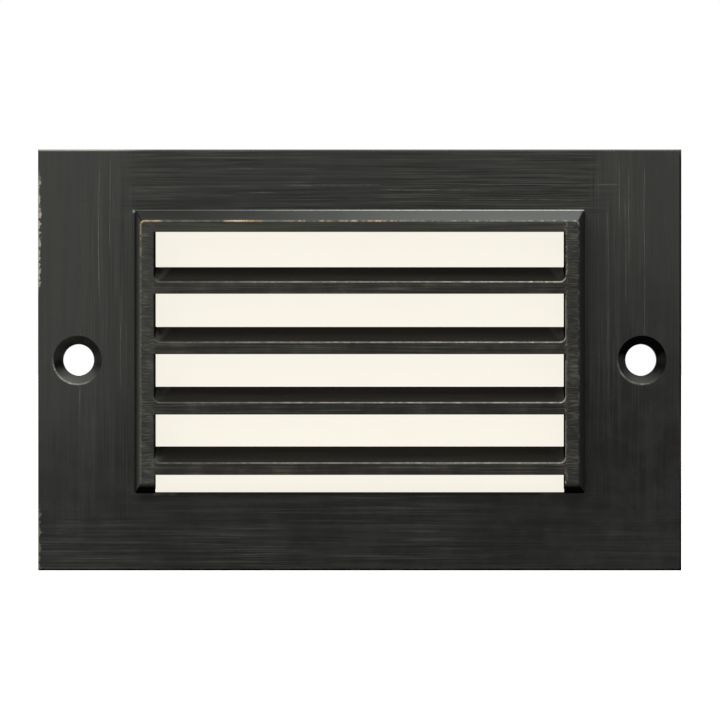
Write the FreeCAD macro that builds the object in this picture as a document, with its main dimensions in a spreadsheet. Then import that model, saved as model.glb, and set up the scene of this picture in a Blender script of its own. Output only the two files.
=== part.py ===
import FreeCAD, Part
import math
import os
import Sketcher

# A recessed step light: a cast brass faceplate with a louvred hood, a frosted
# lens behind the louvres, and a sealed housing with a plug-in lamp.
# Frame: +Z up, the front faces -Y, +X is to the right of a person facing it.
# Origin: middle of the two wall screws, on the back face of the plate.

os.makedirs("parts", exist_ok=True)
doc = FreeCAD.newDocument("StepLight")
sheet = doc.addObject("Spreadsheet::Sheet", "Sizes")

SIZES = [
    # faceplate: the flat plate and its two wall screws
    ("plate_width", 110),
    ("plate_height", 72),
    ("plate_thickness", 3),
    ("plate_edge_round", 0.35),
    ("back_recess_depth", 0.5),
    ("wall_screw_spacing", 96.5),
    ("wall_screw_hole_radius", 2.7),
    ("countersink_radius", 4.15),
    ("countersink_angle", 82),
    # faceplate: the hood, wider at its foot on the plate than at its face
    ("hood_depth", 7),
    ("hood_side_bar", 2.4),
    ("hood_side_slope", 1.5),
    ("hood_top_wall", 3.1),
    ("hood_top_slope", 2.1),
    ("hood_top_bar", 1.94),
    ("hood_sill", 0.3),
    ("hood_bottom_slope", 1.85),
    ("hood_edge_round", 0.45),
    # faceplate: the light opening and the sloping slats across it
    ("opening_half_width", 34.6),
    ("opening_half_height", 22.5),
    ("opening_relief_side", 0.5),
    ("opening_relief_end", 0.2),
    ("opening_relief_depth", 6.5),
    ("slat_count", 4),
    ("slat_pitch", 10.17),
    ("first_slat_drop", 8.36),
    ("slat_face", 2.05),
    ("slat_rise", 2.6),
    ("slat_run", 5),
    ("slat_root_round", 0.9),
    ("slat_edge_round", 0.3),
    # lens, its gasket and its retaining frame
    ("clearance", 0.3),
    ("cut_margin", 1),
    ("lens_side_seat", 2.4),
    ("lens_end_seat", 1.55),
    ("lens_corner_radius", 4),
    ("lens_thickness", 3),
    ("lens_edge_chamfer", 0.4),
    ("lens_gasket_thickness", 1),
    ("lens_gasket_window_gap", 0.25),
    ("lens_rib_thickness", 1.2),
    ("lens_rib_half_length", 8),
    ("retainer_thickness", 1),
    ("retainer_overhang", 0.6),
    ("retainer_window_side_step", 0.4),
    ("retainer_window_end_step", 0.9),
    ("retainer_lip_depth", 2),
    ("retainer_screw_inset", 15),
    ("retainer_ear_radius", 2.4),
    ("retainer_boss_radius", 2.1),
    # small and medium machine screws
    ("small_screw_radius", 1.05),
    ("small_head_radius", 2.25),
    ("small_head_height", 1.6),
    ("medium_screw_radius", 1.3),
    ("medium_head_radius", 2.7),
    ("medium_head_height", 2),
    ("screw_slot_width", 0.7),
    ("screw_slot_depth", 0.7),
    ("screw_tip_gap", 0.8),
    ("tapped_depth_in_plate", 1.5),
    # housing, its gasket and its long screws
    ("housing_side_room", 4),
    ("housing_end_room", 5.15),
    ("housing_wall", 1.8),
    ("housing_corner_radius", 4.4),
    ("housing_depth", 47),
    ("housing_back", 2),
    ("housing_back_round", 1.2),
    ("housing_gasket_thickness", 1),
    ("housing_screw_inset", 2.8),
    ("housing_post_radius", 3),
    ("plate_boss_radius", 2.5),
    ("plate_boss_height", 6),
    ("screw_seal_radius", 3.2),
    ("screw_seal_thickness", 0.8),
    # reflector tray
    ("reflector_gap", 4),
    ("reflector_sheet", 0.8),
    ("reflector_end_gap", 1.2),
    ("reflector_side_flange", 1.5),
    ("reflector_end_flange", 3.4),
    ("reflector_side_taper", 9.4),
    ("reflector_end_taper", 7.1),
    ("reflector_holder_gap", 1.2),
    ("reflector_hole_gap", 1),
    ("reflector_ear_half_height", 4.5),
    ("reflector_screw_inset", 3.1),
    ("reflector_boss_radius", 3.3),
    ("tapped_depth_in_boss", 8),
    # lamp bracket
    ("bracket_boss_height", 7.8),
    ("bracket_sheet", 1.2),
    ("bracket_half_width", 7),
    ("bracket_half_length", 18.5),
    ("bracket_corner_radius", 3),
    ("bracket_slot_half_width", 2.5),
    ("bracket_slot_half_length", 4.6),
    ("bracket_screw_half_spacing", 15),
    ("bracket_boss_radius", 3),
    # lamp holder and its contacts
    ("holder_half_width", 6),
    ("holder_half_length", 10.5),
    ("holder_depth", 10),
    ("holder_edge_round", 0.8),
    ("holder_screw_half_spacing", 7.2),
    ("holder_counterbore_radius", 2.65),
    ("holder_counterbore_depth", 2.5),
    ("holder_pin_entry_depth", 3),
    ("contact_half_spacing", 2),
    ("contact_outer_radius", 1.2),
    ("contact_length", 8),
    # plug-in lamp
    ("lamp_pin_radius", 0.35),
    ("lamp_pin_length", 9),
    ("lamp_base_radius", 6),
    ("lamp_base_height", 2.8),
    ("lamp_base_gap", 0.3),
    ("lamp_board_radius", 15),
    ("lamp_board_thickness", 1.6),
    ("chip_width", 3.5),
    ("chip_height", 2.8),
    ("chip_thickness", 0.8),
    ("chip_outer_ring", 10.6),
    ("chip_outer_count", 8),
    ("chip_inner_ring", 4.4),
    ("chip_inner_count", 4),
    # terminal block, with its barrels and screws
    ("block_from_end", 16),
    ("block_length", 16),
    ("block_half_height", 8.5),
    ("block_depth", 10),
    ("block_pad_height", 3),
    ("block_pad_half_size", 6),
    ("block_pole_half_spacing", 5),
    ("block_channel_size", 4.6),
    ("block_wire_height", 3),
    ("barrel_size", 4),
    ("barrel_length", 13),
    ("clamp_screw_half_spacing", 4),
    ("clamp_screw_depth", 1),
    ("block_tapped_depth", 4),
    # internal leads
    ("lead_radius", 1),
    ("lead_bend_radius", 1.7),
    ("lead_spread_start", 7),
    ("lead_spread_end", 13),
    ("lead_end", 24),
    # cable gland
    ("gland_from_end", 17),
    ("gland_thread_radius", 6.1),
    ("gland_thread_length", 9),
    ("gland_hex_across", 16),
    ("gland_hex_height", 5),
    ("gland_neck_length", 11),
    ("gland_bore_radius", 4),
    ("gland_seat_radius", 5),
    ("gland_seat_depth", 8),
    ("gland_washer_radius", 8.6),
    ("gland_washer_thickness", 1),
    ("gland_seal_length", 9),
    ("gland_seal_bore_radius", 3.25),
    ("gland_locknut_across", 17),
    ("gland_locknut_height", 4),
    ("gland_nut_across", 16),
    ("gland_nut_hex_height", 7),
    ("gland_nut_height", 13),
    ("gland_nut_lip", 1.5),
    ("gland_nut_shoulder", 1),
    ("gland_nut_nose_radius", 5.4),
    ("gland_nut_hole_radius", 3.6),
]

for row, (name, value) in enumerate(SIZES, start=1):
    sheet.set("A%d" % row, name)
    sheet.set("B%d" % row, str(value))
    sheet.setAlias("B%d" % row, name)
doc.recompute()


class Size:
    """A length known both as a number and as an expression on the sheet."""

    def __init__(self, number, text):
        self.number = float(number)
        self.text = text

    def __add__(self, other):
        other = as_size(other)
        return Size(self.number + other.number, "(%s + %s)" % (self.text, other.text))

    def __sub__(self, other):
        other = as_size(other)
        return Size(self.number - other.number, "(%s - %s)" % (self.text, other.text))

    def __mul__(self, factor):
        return Size(self.number * factor, "(%s * %s)" % (self.text, repr(factor)))

    def __truediv__(self, factor):
        return Size(self.number / factor, "(%s / %s)" % (self.text, repr(factor)))

    def __neg__(self):
        return Size(-self.number, "(-1 * %s)" % self.text)

    __rmul__ = __mul__
    __radd__ = __add__

    def __rsub__(self, other):
        return as_size(other) - self


class Sheet:
    """Gives the sheet's sizes by name."""

    def __getattr__(self, name):
        return Size(sheet.get(name), "Sizes." + name)


def as_size(value):
    """A plain number as a Size."""
    if isinstance(value, Size):
        return value
    return Size(value, repr(value))


S = Sheet()


# ---- sizes that follow from the sheet ----

hood_face_half_width = S.opening_half_width + S.hood_side_bar
hood_foot_half_width = hood_face_half_width + S.hood_side_slope
hood_foot_top = S.opening_half_height + S.hood_top_wall
hood_face_top = hood_foot_top - S.hood_top_slope
hood_foot_bottom = S.opening_half_height + S.hood_sill
hood_face_bottom = hood_foot_bottom - S.hood_bottom_slope
hood_front = S.plate_thickness + S.hood_depth
top_bar_underside = hood_face_top - S.hood_top_bar
first_slat_top = top_bar_underside - S.first_slat_drop
relief_half_width = S.opening_half_width + S.opening_relief_side
relief_half_height = S.opening_half_height + S.opening_relief_end

lens_half_width = S.opening_half_width + S.lens_side_seat
lens_half_height = S.opening_half_height + S.lens_end_seat
seat = -S.back_recess_depth
lens_back = seat + S.lens_gasket_thickness + S.lens_thickness
retainer_back = lens_back + S.retainer_thickness
retainer_half_width = lens_half_width + S.retainer_overhang
retainer_half_height = lens_half_height + S.retainer_overhang
retainer_screw_x = lens_half_width - S.retainer_screw_inset
retainer_screw_z = lens_half_height + S.clearance + S.retainer_boss_radius

small_hole = S.small_screw_radius + S.clearance
medium_hole = S.medium_screw_radius + S.clearance

housing_inner_half_width = lens_half_width + S.housing_side_room
housing_inner_half_height = lens_half_height + S.housing_end_room
housing_half_width = housing_inner_half_width + S.housing_wall
housing_half_height = housing_inner_half_height + S.housing_wall
housing_inner_corner = S.housing_corner_radius - S.housing_wall
housing_screw_x = housing_inner_half_width - S.housing_screw_inset
housing_screw_z = housing_inner_half_height - S.housing_screw_inset
housing_mouth = seat + S.housing_gasket_thickness
housing_outside = housing_mouth + S.housing_depth
back_wall_inside = housing_outside - S.housing_back

bracket_front = back_wall_inside - S.bracket_boss_height - S.bracket_sheet
holder_front = bracket_front - S.holder_depth
contact_front = holder_front + S.holder_pin_entry_depth
lamp_base_front = holder_front - S.lamp_base_gap - S.lamp_base_height
board_front = lamp_base_front - S.lamp_board_thickness

reflector_front = retainer_back + S.reflector_gap
reflector_depth = holder_front - S.reflector_holder_gap - S.reflector_sheet - reflector_front
reflector_flange_half_width = housing_screw_x - S.housing_post_radius - S.clearance
reflector_flange_half_height = housing_inner_half_height - S.reflector_end_gap
reflector_screw_x = housing_inner_half_width - S.reflector_screw_inset

block_centre = housing_inner_half_width - S.block_from_end
block_front = back_wall_inside - S.block_pad_height - S.block_depth
wire_line = back_wall_inside - S.block_pad_height - S.block_wire_height

gland_centre = S.gland_from_end - housing_inner_half_width
gland_flange = housing_outside + S.gland_washer_thickness
gland_top = gland_flange + S.gland_hex_height + S.gland_neck_length
gland_seat = gland_top - S.gland_seat_depth


# ---- bodies and sketches ----

def new_body(label, x=0, y=0, z=0):
    """An empty body whose own origin lies at x, y, z in the light."""
    body = doc.addObject("PartDesign::Body", label)
    body.Label = label
    body.setExpression(".Placement.Base.x", as_size(x).text)
    body.setExpression(".Placement.Base.y", as_size(y).text)
    body.setExpression(".Placement.Base.z", as_size(z).text)
    return body


def origin_feature(body, role):
    """One of the body's own axes or planes."""
    for feature in body.Origin.OriginFeatures:
        if feature.Role == role:
            return feature
    raise ValueError(role)


def new_sketch(body, name, plane, along=0, across=0, up=0):
    """A sketch on one of the body's planes, moved along the plane's axis and within it."""
    sketch = body.newObject("Sketcher::SketchObject", name)
    sketch.AttachmentSupport = [(origin_feature(body, plane), "")]
    sketch.MapMode = "FlatFace"
    shift = as_size(along)
    if plane == "XZ_Plane":
        shift = -shift
    sketch.setExpression(".AttachmentOffset.Base.x", as_size(across).text)
    sketch.setExpression(".AttachmentOffset.Base.y", as_size(up).text)
    sketch.setExpression(".AttachmentOffset.Base.z", shift.text)
    return sketch


def bind(sketch, constraint, value):
    """Add a measured constraint and tie it to the sheet."""
    index = sketch.addConstraint(constraint)
    sketch.renameConstraint(index, "c%d" % index)
    sketch.setExpression(".Constraints.c%d" % index, value.text)


def pin(sketch, item, end, x, y):
    """Fix a point of the sketch at x, y from the sketch's origin."""
    bind(sketch, Sketcher.Constraint("DistanceX", -1, 1, item, end, x.number), x)
    bind(sketch, Sketcher.Constraint("DistanceY", -1, 1, item, end, y.number), y)


def polygon(sketch, points):
    """A closed outline of straight lines."""
    points = [(as_size(x), as_size(y)) for x, y in points]
    places = [FreeCAD.Vector(x.number, y.number, 0) for x, y in points]
    count = len(points)
    items = []
    for index in range(count):
        line = Part.LineSegment(places[index], places[(index + 1) % count])
        items.append(sketch.addGeometry(line, False))
    for index in range(count):
        following = items[(index + 1) % count]
        sketch.addConstraint(Sketcher.Constraint("Coincident", items[index], 2, following, 1))
    for item, (x, y) in zip(items, points):
        pin(sketch, item, 1, x, y)


def rectangle(sketch, left, bottom, right, top):
    """A rectangle with sharp corners."""
    polygon(sketch, [(left, bottom), (right, bottom), (right, top), (left, top)])


def rounded_rectangle(sketch, half_width, half_height, radius):
    """A rectangle about the sketch's origin, with rounded corners."""
    radius = as_size(radius)
    arcs = []
    for quarter, (sx, sy) in enumerate([(1, 1), (-1, 1), (-1, -1), (1, -1)]):
        x = (half_width - radius) * sx
        y = (half_height - radius) * sy
        circle = Part.Circle(FreeCAD.Vector(x.number, y.number, 0), FreeCAD.Vector(0, 0, 1), radius.number)
        start = quarter * math.pi / 2
        arc = sketch.addGeometry(Part.ArcOfCircle(circle, start, start + math.pi / 2), False)
        bind(sketch, Sketcher.Constraint("Radius", arc, radius.number), radius)
        pin(sketch, arc, 3, x, y)
        arcs.append(arc)
    for index in range(4):
        first = sketch.Geometry[arcs[index]].EndPoint
        second = sketch.Geometry[arcs[(index + 1) % 4]].StartPoint
        line = sketch.addGeometry(Part.LineSegment(first, second), False)
        sketch.addConstraint(Sketcher.Constraint("Tangent", arcs[index], 2, line, 1))
        sketch.addConstraint(Sketcher.Constraint("Tangent", line, 2, arcs[(index + 1) % 4], 1))


def circle_at(sketch, x, y, radius):
    """A full circle."""
    x, y, radius = as_size(x), as_size(y), as_size(radius)
    place = FreeCAD.Vector(x.number, y.number, 0)
    item = sketch.addGeometry(Part.Circle(place, FreeCAD.Vector(0, 0, 1), radius.number), False)
    pin(sketch, item, 3, x, y)
    bind(sketch, Sketcher.Constraint("Radius", item, radius.number), radius)


def hexagon(sketch, across_flats):
    """A regular hexagon about the sketch's origin, flats up and down."""
    corner = across_flats / math.sqrt(3)
    flat = across_flats / 2
    polygon(sketch, [(corner, 0), (corner / 2, flat), (-corner / 2, flat),
                     (-corner, 0), (-corner / 2, -flat), (corner / 2, -flat)])


# ---- features ----

def add(body, name, sketch, length):
    """Build the sketch up towards +X, +Y or +Z."""
    feature = body.newObject("PartDesign::Pad", name)
    feature.Profile = sketch
    feature.Reversed = sketch.AttachmentSupport[0][0].Role == "XZ_Plane"
    feature.setExpression("Length", as_size(length).text)
    return feature


def cut(body, name, sketch, length):
    """Cut the sketch out towards +X, +Y or +Z."""
    feature = body.newObject("PartDesign::Pocket", name)
    feature.Profile = sketch
    feature.Reversed = sketch.AttachmentSupport[0][0].Role != "XZ_Plane"
    feature.setExpression("Length", as_size(length).text)
    return feature


def turn(body, name, points, across=0, up=0):
    """Revolve an outline of (radius, y) points about an axis that lies along Y."""
    sketch = new_sketch(body, name + "_outline", "XY_Plane", along=up, across=across)
    polygon(sketch, points)
    feature = body.newObject("PartDesign::Revolution", name)
    feature.Profile = sketch
    feature.ReferenceAxis = (sketch, ["V_Axis"])
    feature.Angle = 360
    return feature


def loft(body, kind, name, first, second):
    """Join two outlines with straight sides, as solid or as hollow."""
    feature = body.newObject("PartDesign::%sLoft" % kind, name)
    feature.Profile = first
    feature.Sections = [second]
    feature.Ruled = True
    return feature


def repeat_whole(body, name, spacing_x, spacing_z):
    """Repeat the whole body at a spacing along X and along Z."""
    feature = body.newObject("PartDesign::LinearPattern", name)
    feature.TransformMode = "Whole shape"
    feature.Direction = (origin_feature(body, "X_Axis"), [""])
    feature.Direction2 = (origin_feature(body, "Z_Axis"), [""])
    feature.Occurrences = 2 if spacing_x else 1
    feature.Occurrences2 = 2 if spacing_z else 1
    if spacing_x:
        feature.setExpression("Length", spacing_x.text)
    if spacing_z:
        feature.setExpression("Length2", spacing_z.text)
    body.Tip = feature
    doc.recompute()
    return feature


def edges_where(feature, test):
    """Names of the feature's edges that pass the test."""
    doc.recompute()
    names = []
    for number, edge in enumerate(feature.Shape.Edges, start=1):
        if test(edge):
            names.append("Edge%d" % number)
    return names


def round_edges(body, name, base, names, radius):
    """Round the named edges."""
    feature = body.newObject("PartDesign::Fillet", name)
    feature.Base = (base, names)
    feature.setExpression("Radius", radius.text)
    body.Tip = feature
    doc.recompute()
    return feature


def at(edge, x=None, y=None, z=None, off=0.02):
    """Whether the whole edge lies at the given coordinates."""
    box = edge.BoundBox
    wanted = ((x, box.XMin, box.XMax), (y, box.YMin, box.YMax), (z, box.ZMin, box.ZMax))
    for value, low, high in wanted:
        if value is not None and (abs(low - value) > off or abs(high - value) > off):
            return False
    return True


# ---- faceplate ----

def faceplate():
    """One brass casting: plate, hood and slats, with bosses and ribs on its back."""
    body = new_body("faceplate")
    outline = new_sketch(body, "plate_outline", "XZ_Plane", along=-S.plate_thickness)
    rectangle(outline, -S.plate_width / 2, -S.plate_height / 2, S.plate_width / 2, S.plate_height / 2)
    add(body, "plate", outline, S.plate_thickness)

    foot = new_sketch(body, "hood_foot", "XZ_Plane", along=-S.plate_thickness)
    rectangle(foot, -hood_foot_half_width, -hood_foot_bottom, hood_foot_half_width, hood_foot_top)
    face = new_sketch(body, "hood_face", "XZ_Plane", along=-hood_front)
    rectangle(face, -hood_face_half_width, -hood_face_bottom, hood_face_half_width, hood_face_top)
    hood = loft(body, "Additive", "hood", foot, face)

    outer = [edge_name for edge_name in edges_where(hood, hood_outer_edge)]
    hood_rounds = round_edges(body, "hood_edge_rounds", hood, outer, S.hood_edge_round)
    rim = edges_where(hood_rounds, plate_front_edge)
    round_edges(body, "plate_edge_rounds", hood_rounds, rim, S.plate_edge_round)

    # the space behind the slats: through the plate, and open at the foot of the hood
    space = new_sketch(body, "light_opening_profile", "YZ_Plane", along=-S.opening_half_width)
    polygon(space, [
        (-hood_front - S.cut_margin, -hood_foot_bottom - S.cut_margin),
        (-S.plate_thickness, -hood_foot_bottom - S.cut_margin),
        (-S.plate_thickness, -S.opening_half_height),
        (S.cut_margin, -S.opening_half_height),
        (S.cut_margin, S.opening_half_height),
        (-hood_front + S.slat_run, S.opening_half_height),
        (-hood_front, top_bar_underside),
        (-hood_front - S.cut_margin, top_bar_underside),
    ])
    cut(body, "light_opening", space, 2 * S.opening_half_width)

    # further in, the opening is a little wider, so its front edge alone frames the lens
    relief = new_sketch(body, "opening_relief_outline", "XZ_Plane", along=-S.opening_relief_depth)
    rectangle(relief, -relief_half_width, -relief_half_height, relief_half_width, relief_half_height)
    cut(body, "opening_relief", relief, S.opening_relief_depth)

    # one slat, sloping down towards the front, repeated downwards
    slat_half_length = relief_half_width + S.clearance
    slat_profile = new_sketch(body, "slat_profile", "YZ_Plane", along=-slat_half_length)
    polygon(slat_profile, [
        (-hood_front, first_slat_top - S.slat_face),
        (-hood_front + S.slat_run, first_slat_top - S.slat_face + S.slat_rise),
        (-hood_front + S.slat_run, first_slat_top + S.slat_rise),
        (-hood_front, first_slat_top),
    ])
    slat = add(body, "slat", slat_profile, 2 * slat_half_length)
    slats = body.newObject("PartDesign::LinearPattern", "slats")
    slats.Originals = [slat]
    slats.Direction = (origin_feature(body, "Z_Axis"), [""])
    slats.Reversed = True
    slats.Mode = "Spacing"
    slats.setExpression("Offset", S.slat_pitch.text)
    slats.setExpression("Occurrences", S.slat_count.text)
    body.Tip = slats
    doc.recompute()

    roots = edges_where(slats, slat_root_edge)
    root_rounds = round_edges(body, "slat_root_rounds", slats, roots, S.slat_root_round)
    lips = edges_where(root_rounds, slat_lip_edge)
    lip_rounds = round_edges(body, "slat_lip_rounds", root_rounds, lips, S.slat_edge_round)

    # two countersunk holes for the wall screws
    drill = new_sketch(body, "wall_screw_centres", "XZ_Plane", along=-S.plate_thickness)
    for side in (-1, 1):
        circle_at(drill, side * S.wall_screw_spacing / 2, 0, S.wall_screw_hole_radius)
    doc.recompute()
    holes = body.newObject("PartDesign::Hole", "wall_screw_holes")
    holes.Profile = drill
    holes.DepthType = "ThroughAll"
    holes.HoleCutType = "Countersink"
    holes.HoleCutCustomValues = True
    holes.setExpression("Diameter", (2 * S.wall_screw_hole_radius).text)
    holes.setExpression("HoleCutDiameter", (2 * S.countersink_radius).text)
    holes.setExpression("HoleCutCountersinkAngle", S.countersink_angle.text)
    doc.recompute()

    plate_back_bosses(body)
    return body


def hood_outer_edge(edge):
    """The hood's front outline and its four slanted corners, but not its foot."""
    return edge.BoundBox.YMin < -hood_front.number + 0.01


def plate_front_edge(edge):
    """The outer edges of the plate's front face."""
    half_width = S.plate_width.number / 2
    half_height = S.plate_height.number / 2
    if not at(edge, y=-S.plate_thickness.number):
        return False
    sides = [at(edge, x=half_width), at(edge, x=-half_width)]
    ends = [at(edge, z=half_height), at(edge, z=-half_height)]
    return any(sides) or any(ends)


def slat_root_edge(edge):
    """Where a slat's upper face meets the front part of a side wall of the opening."""
    half = S.opening_half_width.number
    if not (at(edge, x=half) or at(edge, x=-half)):
        return False
    box = edge.BoundBox
    if box.YLength < S.slat_root_round.number or box.YMin > -hood_front.number + 0.05:
        return False
    for index in range(int(S.slat_count.number)):
        top = first_slat_top.number - index * S.slat_pitch.number
        if abs(box.ZMin - top) < 0.05 and box.ZLength > 0.05:
            return True
    return False


def slat_lip_edge(edge):
    """The straight upper front edge of each slat."""
    if not at(edge, y=-hood_front.number) or edge.BoundBox.XLength < S.opening_half_width.number:
        return False
    for index in range(int(S.slat_count.number)):
        top = first_slat_top.number - index * S.slat_pitch.number
        if at(edge, z=top):
            return True
    return False


def plate_back_bosses(body):
    """A shallow recess for the housing; in it tapped bosses, and ribs beside the lens."""
    recess = new_sketch(body, "back_recess_outline", "XZ_Plane", along=seat)
    rounded_rectangle(recess, housing_half_width + S.clearance, housing_half_height + S.clearance,
                      S.housing_corner_radius + S.clearance)
    cut(body, "back_recess", recess, S.back_recess_depth)
    hole_end = seat - S.tapped_depth_in_plate
    low = new_sketch(body, "retainer_boss_circles", "XZ_Plane", along=seat)
    low_holes = new_sketch(body, "retainer_hole_circles", "XZ_Plane", along=hole_end)
    high = new_sketch(body, "housing_boss_circles", "XZ_Plane", along=seat)
    high_holes = new_sketch(body, "housing_hole_circles", "XZ_Plane", along=hole_end)
    ribs = new_sketch(body, "lens_rib_outlines", "XZ_Plane", along=seat)
    for side in (-1, 1):
        for end in (-1, 1):
            x = side * retainer_screw_x
            z = end * retainer_screw_z
            circle_at(low, x, z, S.retainer_boss_radius)
            circle_at(low_holes, x, z, small_hole)
            x = side * housing_screw_x
            z = end * housing_screw_z
            circle_at(high, x, z, S.plate_boss_radius)
            circle_at(high_holes, x, z, medium_hole)
        near = lens_half_width + S.clearance
        far = near + S.lens_rib_thickness
        rectangle(ribs, side * near, -S.lens_rib_half_length, side * far, S.lens_rib_half_length)
    add(body, "retainer_bosses", low, lens_back - seat)
    add(body, "housing_bosses", high, S.plate_boss_height - seat)
    add(body, "lens_ribs", ribs, lens_back - seat - S.clearance)
    cut(body, "retainer_tapped_holes", low_holes, lens_back - hole_end)
    cut(body, "housing_tapped_holes", high_holes, S.plate_boss_height - hole_end)


# ---- lens and its fixing ----

def lens_gasket():
    """Flat rubber ring that seals the lens against the back of the plate."""
    body = new_body("lens_gasket", y=seat)
    ring = new_sketch(body, "ring", "XZ_Plane")
    rounded_rectangle(ring, lens_half_width, lens_half_height, S.lens_corner_radius)
    gap = S.lens_gasket_window_gap
    half_width = relief_half_width + gap
    half_height = relief_half_height + gap
    rectangle(ring, -half_width, -half_height, half_width, half_height)
    add(body, "gasket", ring, S.lens_gasket_thickness)
    return body


def lens():
    """Frosted glass sheet with rounded corners and ground edges."""
    body = new_body("lens", y=seat + S.lens_gasket_thickness)
    outline = new_sketch(body, "outline", "XZ_Plane")
    rounded_rectangle(outline, lens_half_width, lens_half_height, S.lens_corner_radius)
    sheet_of_glass = add(body, "sheet_of_glass", outline, S.lens_thickness)
    rim = edges_where(sheet_of_glass, lambda edge: at(edge, y=edge.BoundBox.YMin))
    chamfer = body.newObject("PartDesign::Chamfer", "ground_edges")
    chamfer.Base = (sheet_of_glass, rim)
    chamfer.setExpression("Size", S.lens_edge_chamfer.text)
    return body


def lens_retainer():
    """Stamped steel frame with four ears and a lip folded back round its window."""
    body = new_body("lens_retainer", y=lens_back)
    outline = new_sketch(body, "outline", "XZ_Plane")
    rounded_rectangle(outline, retainer_half_width, retainer_half_height, S.lens_corner_radius)
    add(body, "frame", outline, S.retainer_thickness)
    for side, side_name in ((-1, "left"), (1, "right")):
        for end, end_name in ((-1, "lower"), (1, "upper")):
            x = side * retainer_screw_x
            z = end * retainer_screw_z
            tag = "%s_%s_ear" % (end_name, side_name)
            neck = new_sketch(body, tag + "_neck", "XZ_Plane")
            foot = end * (retainer_half_height - S.cut_margin)
            rectangle(neck, x - S.retainer_ear_radius, foot, x + S.retainer_ear_radius, z)
            add(body, tag, neck, S.retainer_thickness)
            tip = new_sketch(body, tag + "_tip", "XZ_Plane")
            circle_at(tip, x, z, S.retainer_ear_radius)
            add(body, tag + "_round", tip, S.retainer_thickness)
    lip = new_sketch(body, "lip_outline", "XZ_Plane", along=S.retainer_thickness)
    window_width = S.opening_half_width - S.retainer_window_side_step
    window_height = S.opening_half_height - S.retainer_window_end_step
    sheet_thickness = S.retainer_thickness
    rectangle(lip, -window_width - sheet_thickness, -window_height - sheet_thickness,
              window_width + sheet_thickness, window_height + sheet_thickness)
    add(body, "lip", lip, S.retainer_lip_depth)
    window = new_sketch(body, "window", "XZ_Plane")
    rectangle(window, -window_width, -window_height, window_width, window_height)
    cut(body, "window_cut", window, S.retainer_thickness + S.retainer_lip_depth)
    holes = new_sketch(body, "hole_circles", "XZ_Plane")
    for side in (-1, 1):
        for end in (-1, 1):
            x = side * retainer_screw_x
            z = end * retainer_screw_z
            circle_at(holes, x, z, small_hole)
    cut(body, "holes", holes, S.retainer_thickness)
    return body


# ---- screws ----

def screw_group(label, radius, length, head_radius, head_height, towards, place, spacing_x, spacing_z):
    """Slotted pan-head screws that point along +Y or -Y, two or four of them.

    The body's own origin is under the head of the lower left screw.
    """
    body = new_body(label, *place)
    ease = S.screw_slot_depth / 2
    turn(body, "screw", [
        (0, -towards * head_height),
        (head_radius - ease, -towards * head_height),
        (head_radius, -towards * (head_height - ease)),
        (head_radius, 0),
        (radius, 0),
        (radius, towards * (length - ease)),
        (radius - ease, towards * length),
        (0, towards * length),
    ])
    outer = -head_height if towards > 0 else head_height - S.screw_slot_depth
    slot = new_sketch(body, "slot_outline", "XZ_Plane", along=outer)
    rectangle(slot, -head_radius, -S.screw_slot_width / 2, head_radius, S.screw_slot_width / 2)
    cut(body, "slot", slot, S.screw_slot_depth)
    if spacing_x or spacing_z:
        repeat_whole(body, "screws", spacing_x, spacing_z)
    return body


def small_screws(label, length, towards, place, spacing_x, spacing_z):
    """Screws of the small size."""
    return screw_group(label, S.small_screw_radius, length, S.small_head_radius, S.small_head_height,
                       towards, place, spacing_x, spacing_z)


def medium_screws(label, length, towards, place, spacing_x, spacing_z):
    """Screws of the medium size."""
    return screw_group(label, S.medium_screw_radius, length, S.medium_head_radius, S.medium_head_height,
                       towards, place, spacing_x, spacing_z)


def retainer_screws():
    """Four small screws that hold the lens frame to its bosses."""
    length = retainer_back - seat + S.tapped_depth_in_plate - S.screw_tip_gap
    place = (-retainer_screw_x, retainer_back, -retainer_screw_z)
    return small_screws("retainer_screws", length, -1, place,
                        2 * retainer_screw_x, 2 * retainer_screw_z)


# ---- housing and its fixing ----


def housing():
    """Deep metal box with four full-height corner posts and bosses for what it carries."""
    body = new_body("housing", y=housing_mouth)
    outline = new_sketch(body, "outline", "XZ_Plane")
    rounded_rectangle(outline, housing_half_width, housing_half_height, S.housing_corner_radius)
    block = add(body, "block", outline, S.housing_depth)
    back_rim = edges_where(block, lambda edge: at(edge, y=S.housing_depth.number))
    round_edges(body, "back_rounds", block, back_rim, S.housing_back_round)

    inside = new_sketch(body, "inside_outline", "XZ_Plane")
    rounded_rectangle(inside, housing_inner_half_width, housing_inner_half_height, housing_inner_corner)
    inner_depth = S.housing_depth - S.housing_back
    cut(body, "inside", inside, inner_depth)

    post_start = S.plate_boss_height - housing_mouth
    posts = new_sketch(body, "post_circles", "XZ_Plane", along=post_start)
    for side in (-1, 1):
        for end in (-1, 1):
            circle_at(posts, side * housing_screw_x, end * housing_screw_z,
                      S.housing_post_radius)
    add(body, "posts", posts, inner_depth - post_start)

    side_start = reflector_front + S.reflector_sheet - housing_mouth
    side_bosses = new_sketch(body, "side_boss_circles", "XZ_Plane", along=side_start)
    for side in (-1, 1):
        circle_at(side_bosses, side * reflector_screw_x, 0, S.reflector_boss_radius)
    add(body, "side_bosses", side_bosses, inner_depth - side_start)

    bracket_back = bracket_front + S.bracket_sheet - housing_mouth
    back_bosses = new_sketch(body, "bracket_boss_circles", "XZ_Plane", along=bracket_back)
    for end in (-1, 1):
        circle_at(back_bosses, 0, end * S.bracket_screw_half_spacing, S.bracket_boss_radius)
    add(body, "bracket_bosses", back_bosses, inner_depth - bracket_back)

    pad_start = inner_depth - S.block_pad_height
    pad = new_sketch(body, "block_pad_outline", "XZ_Plane", along=pad_start)
    half = S.block_pad_half_size
    rectangle(pad, block_centre - half, -half, block_centre + half, half)
    add(body, "block_pad", pad, S.block_pad_height)

    housing_holes(body, post_start, side_start, bracket_back, pad_start)
    return body


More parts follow.
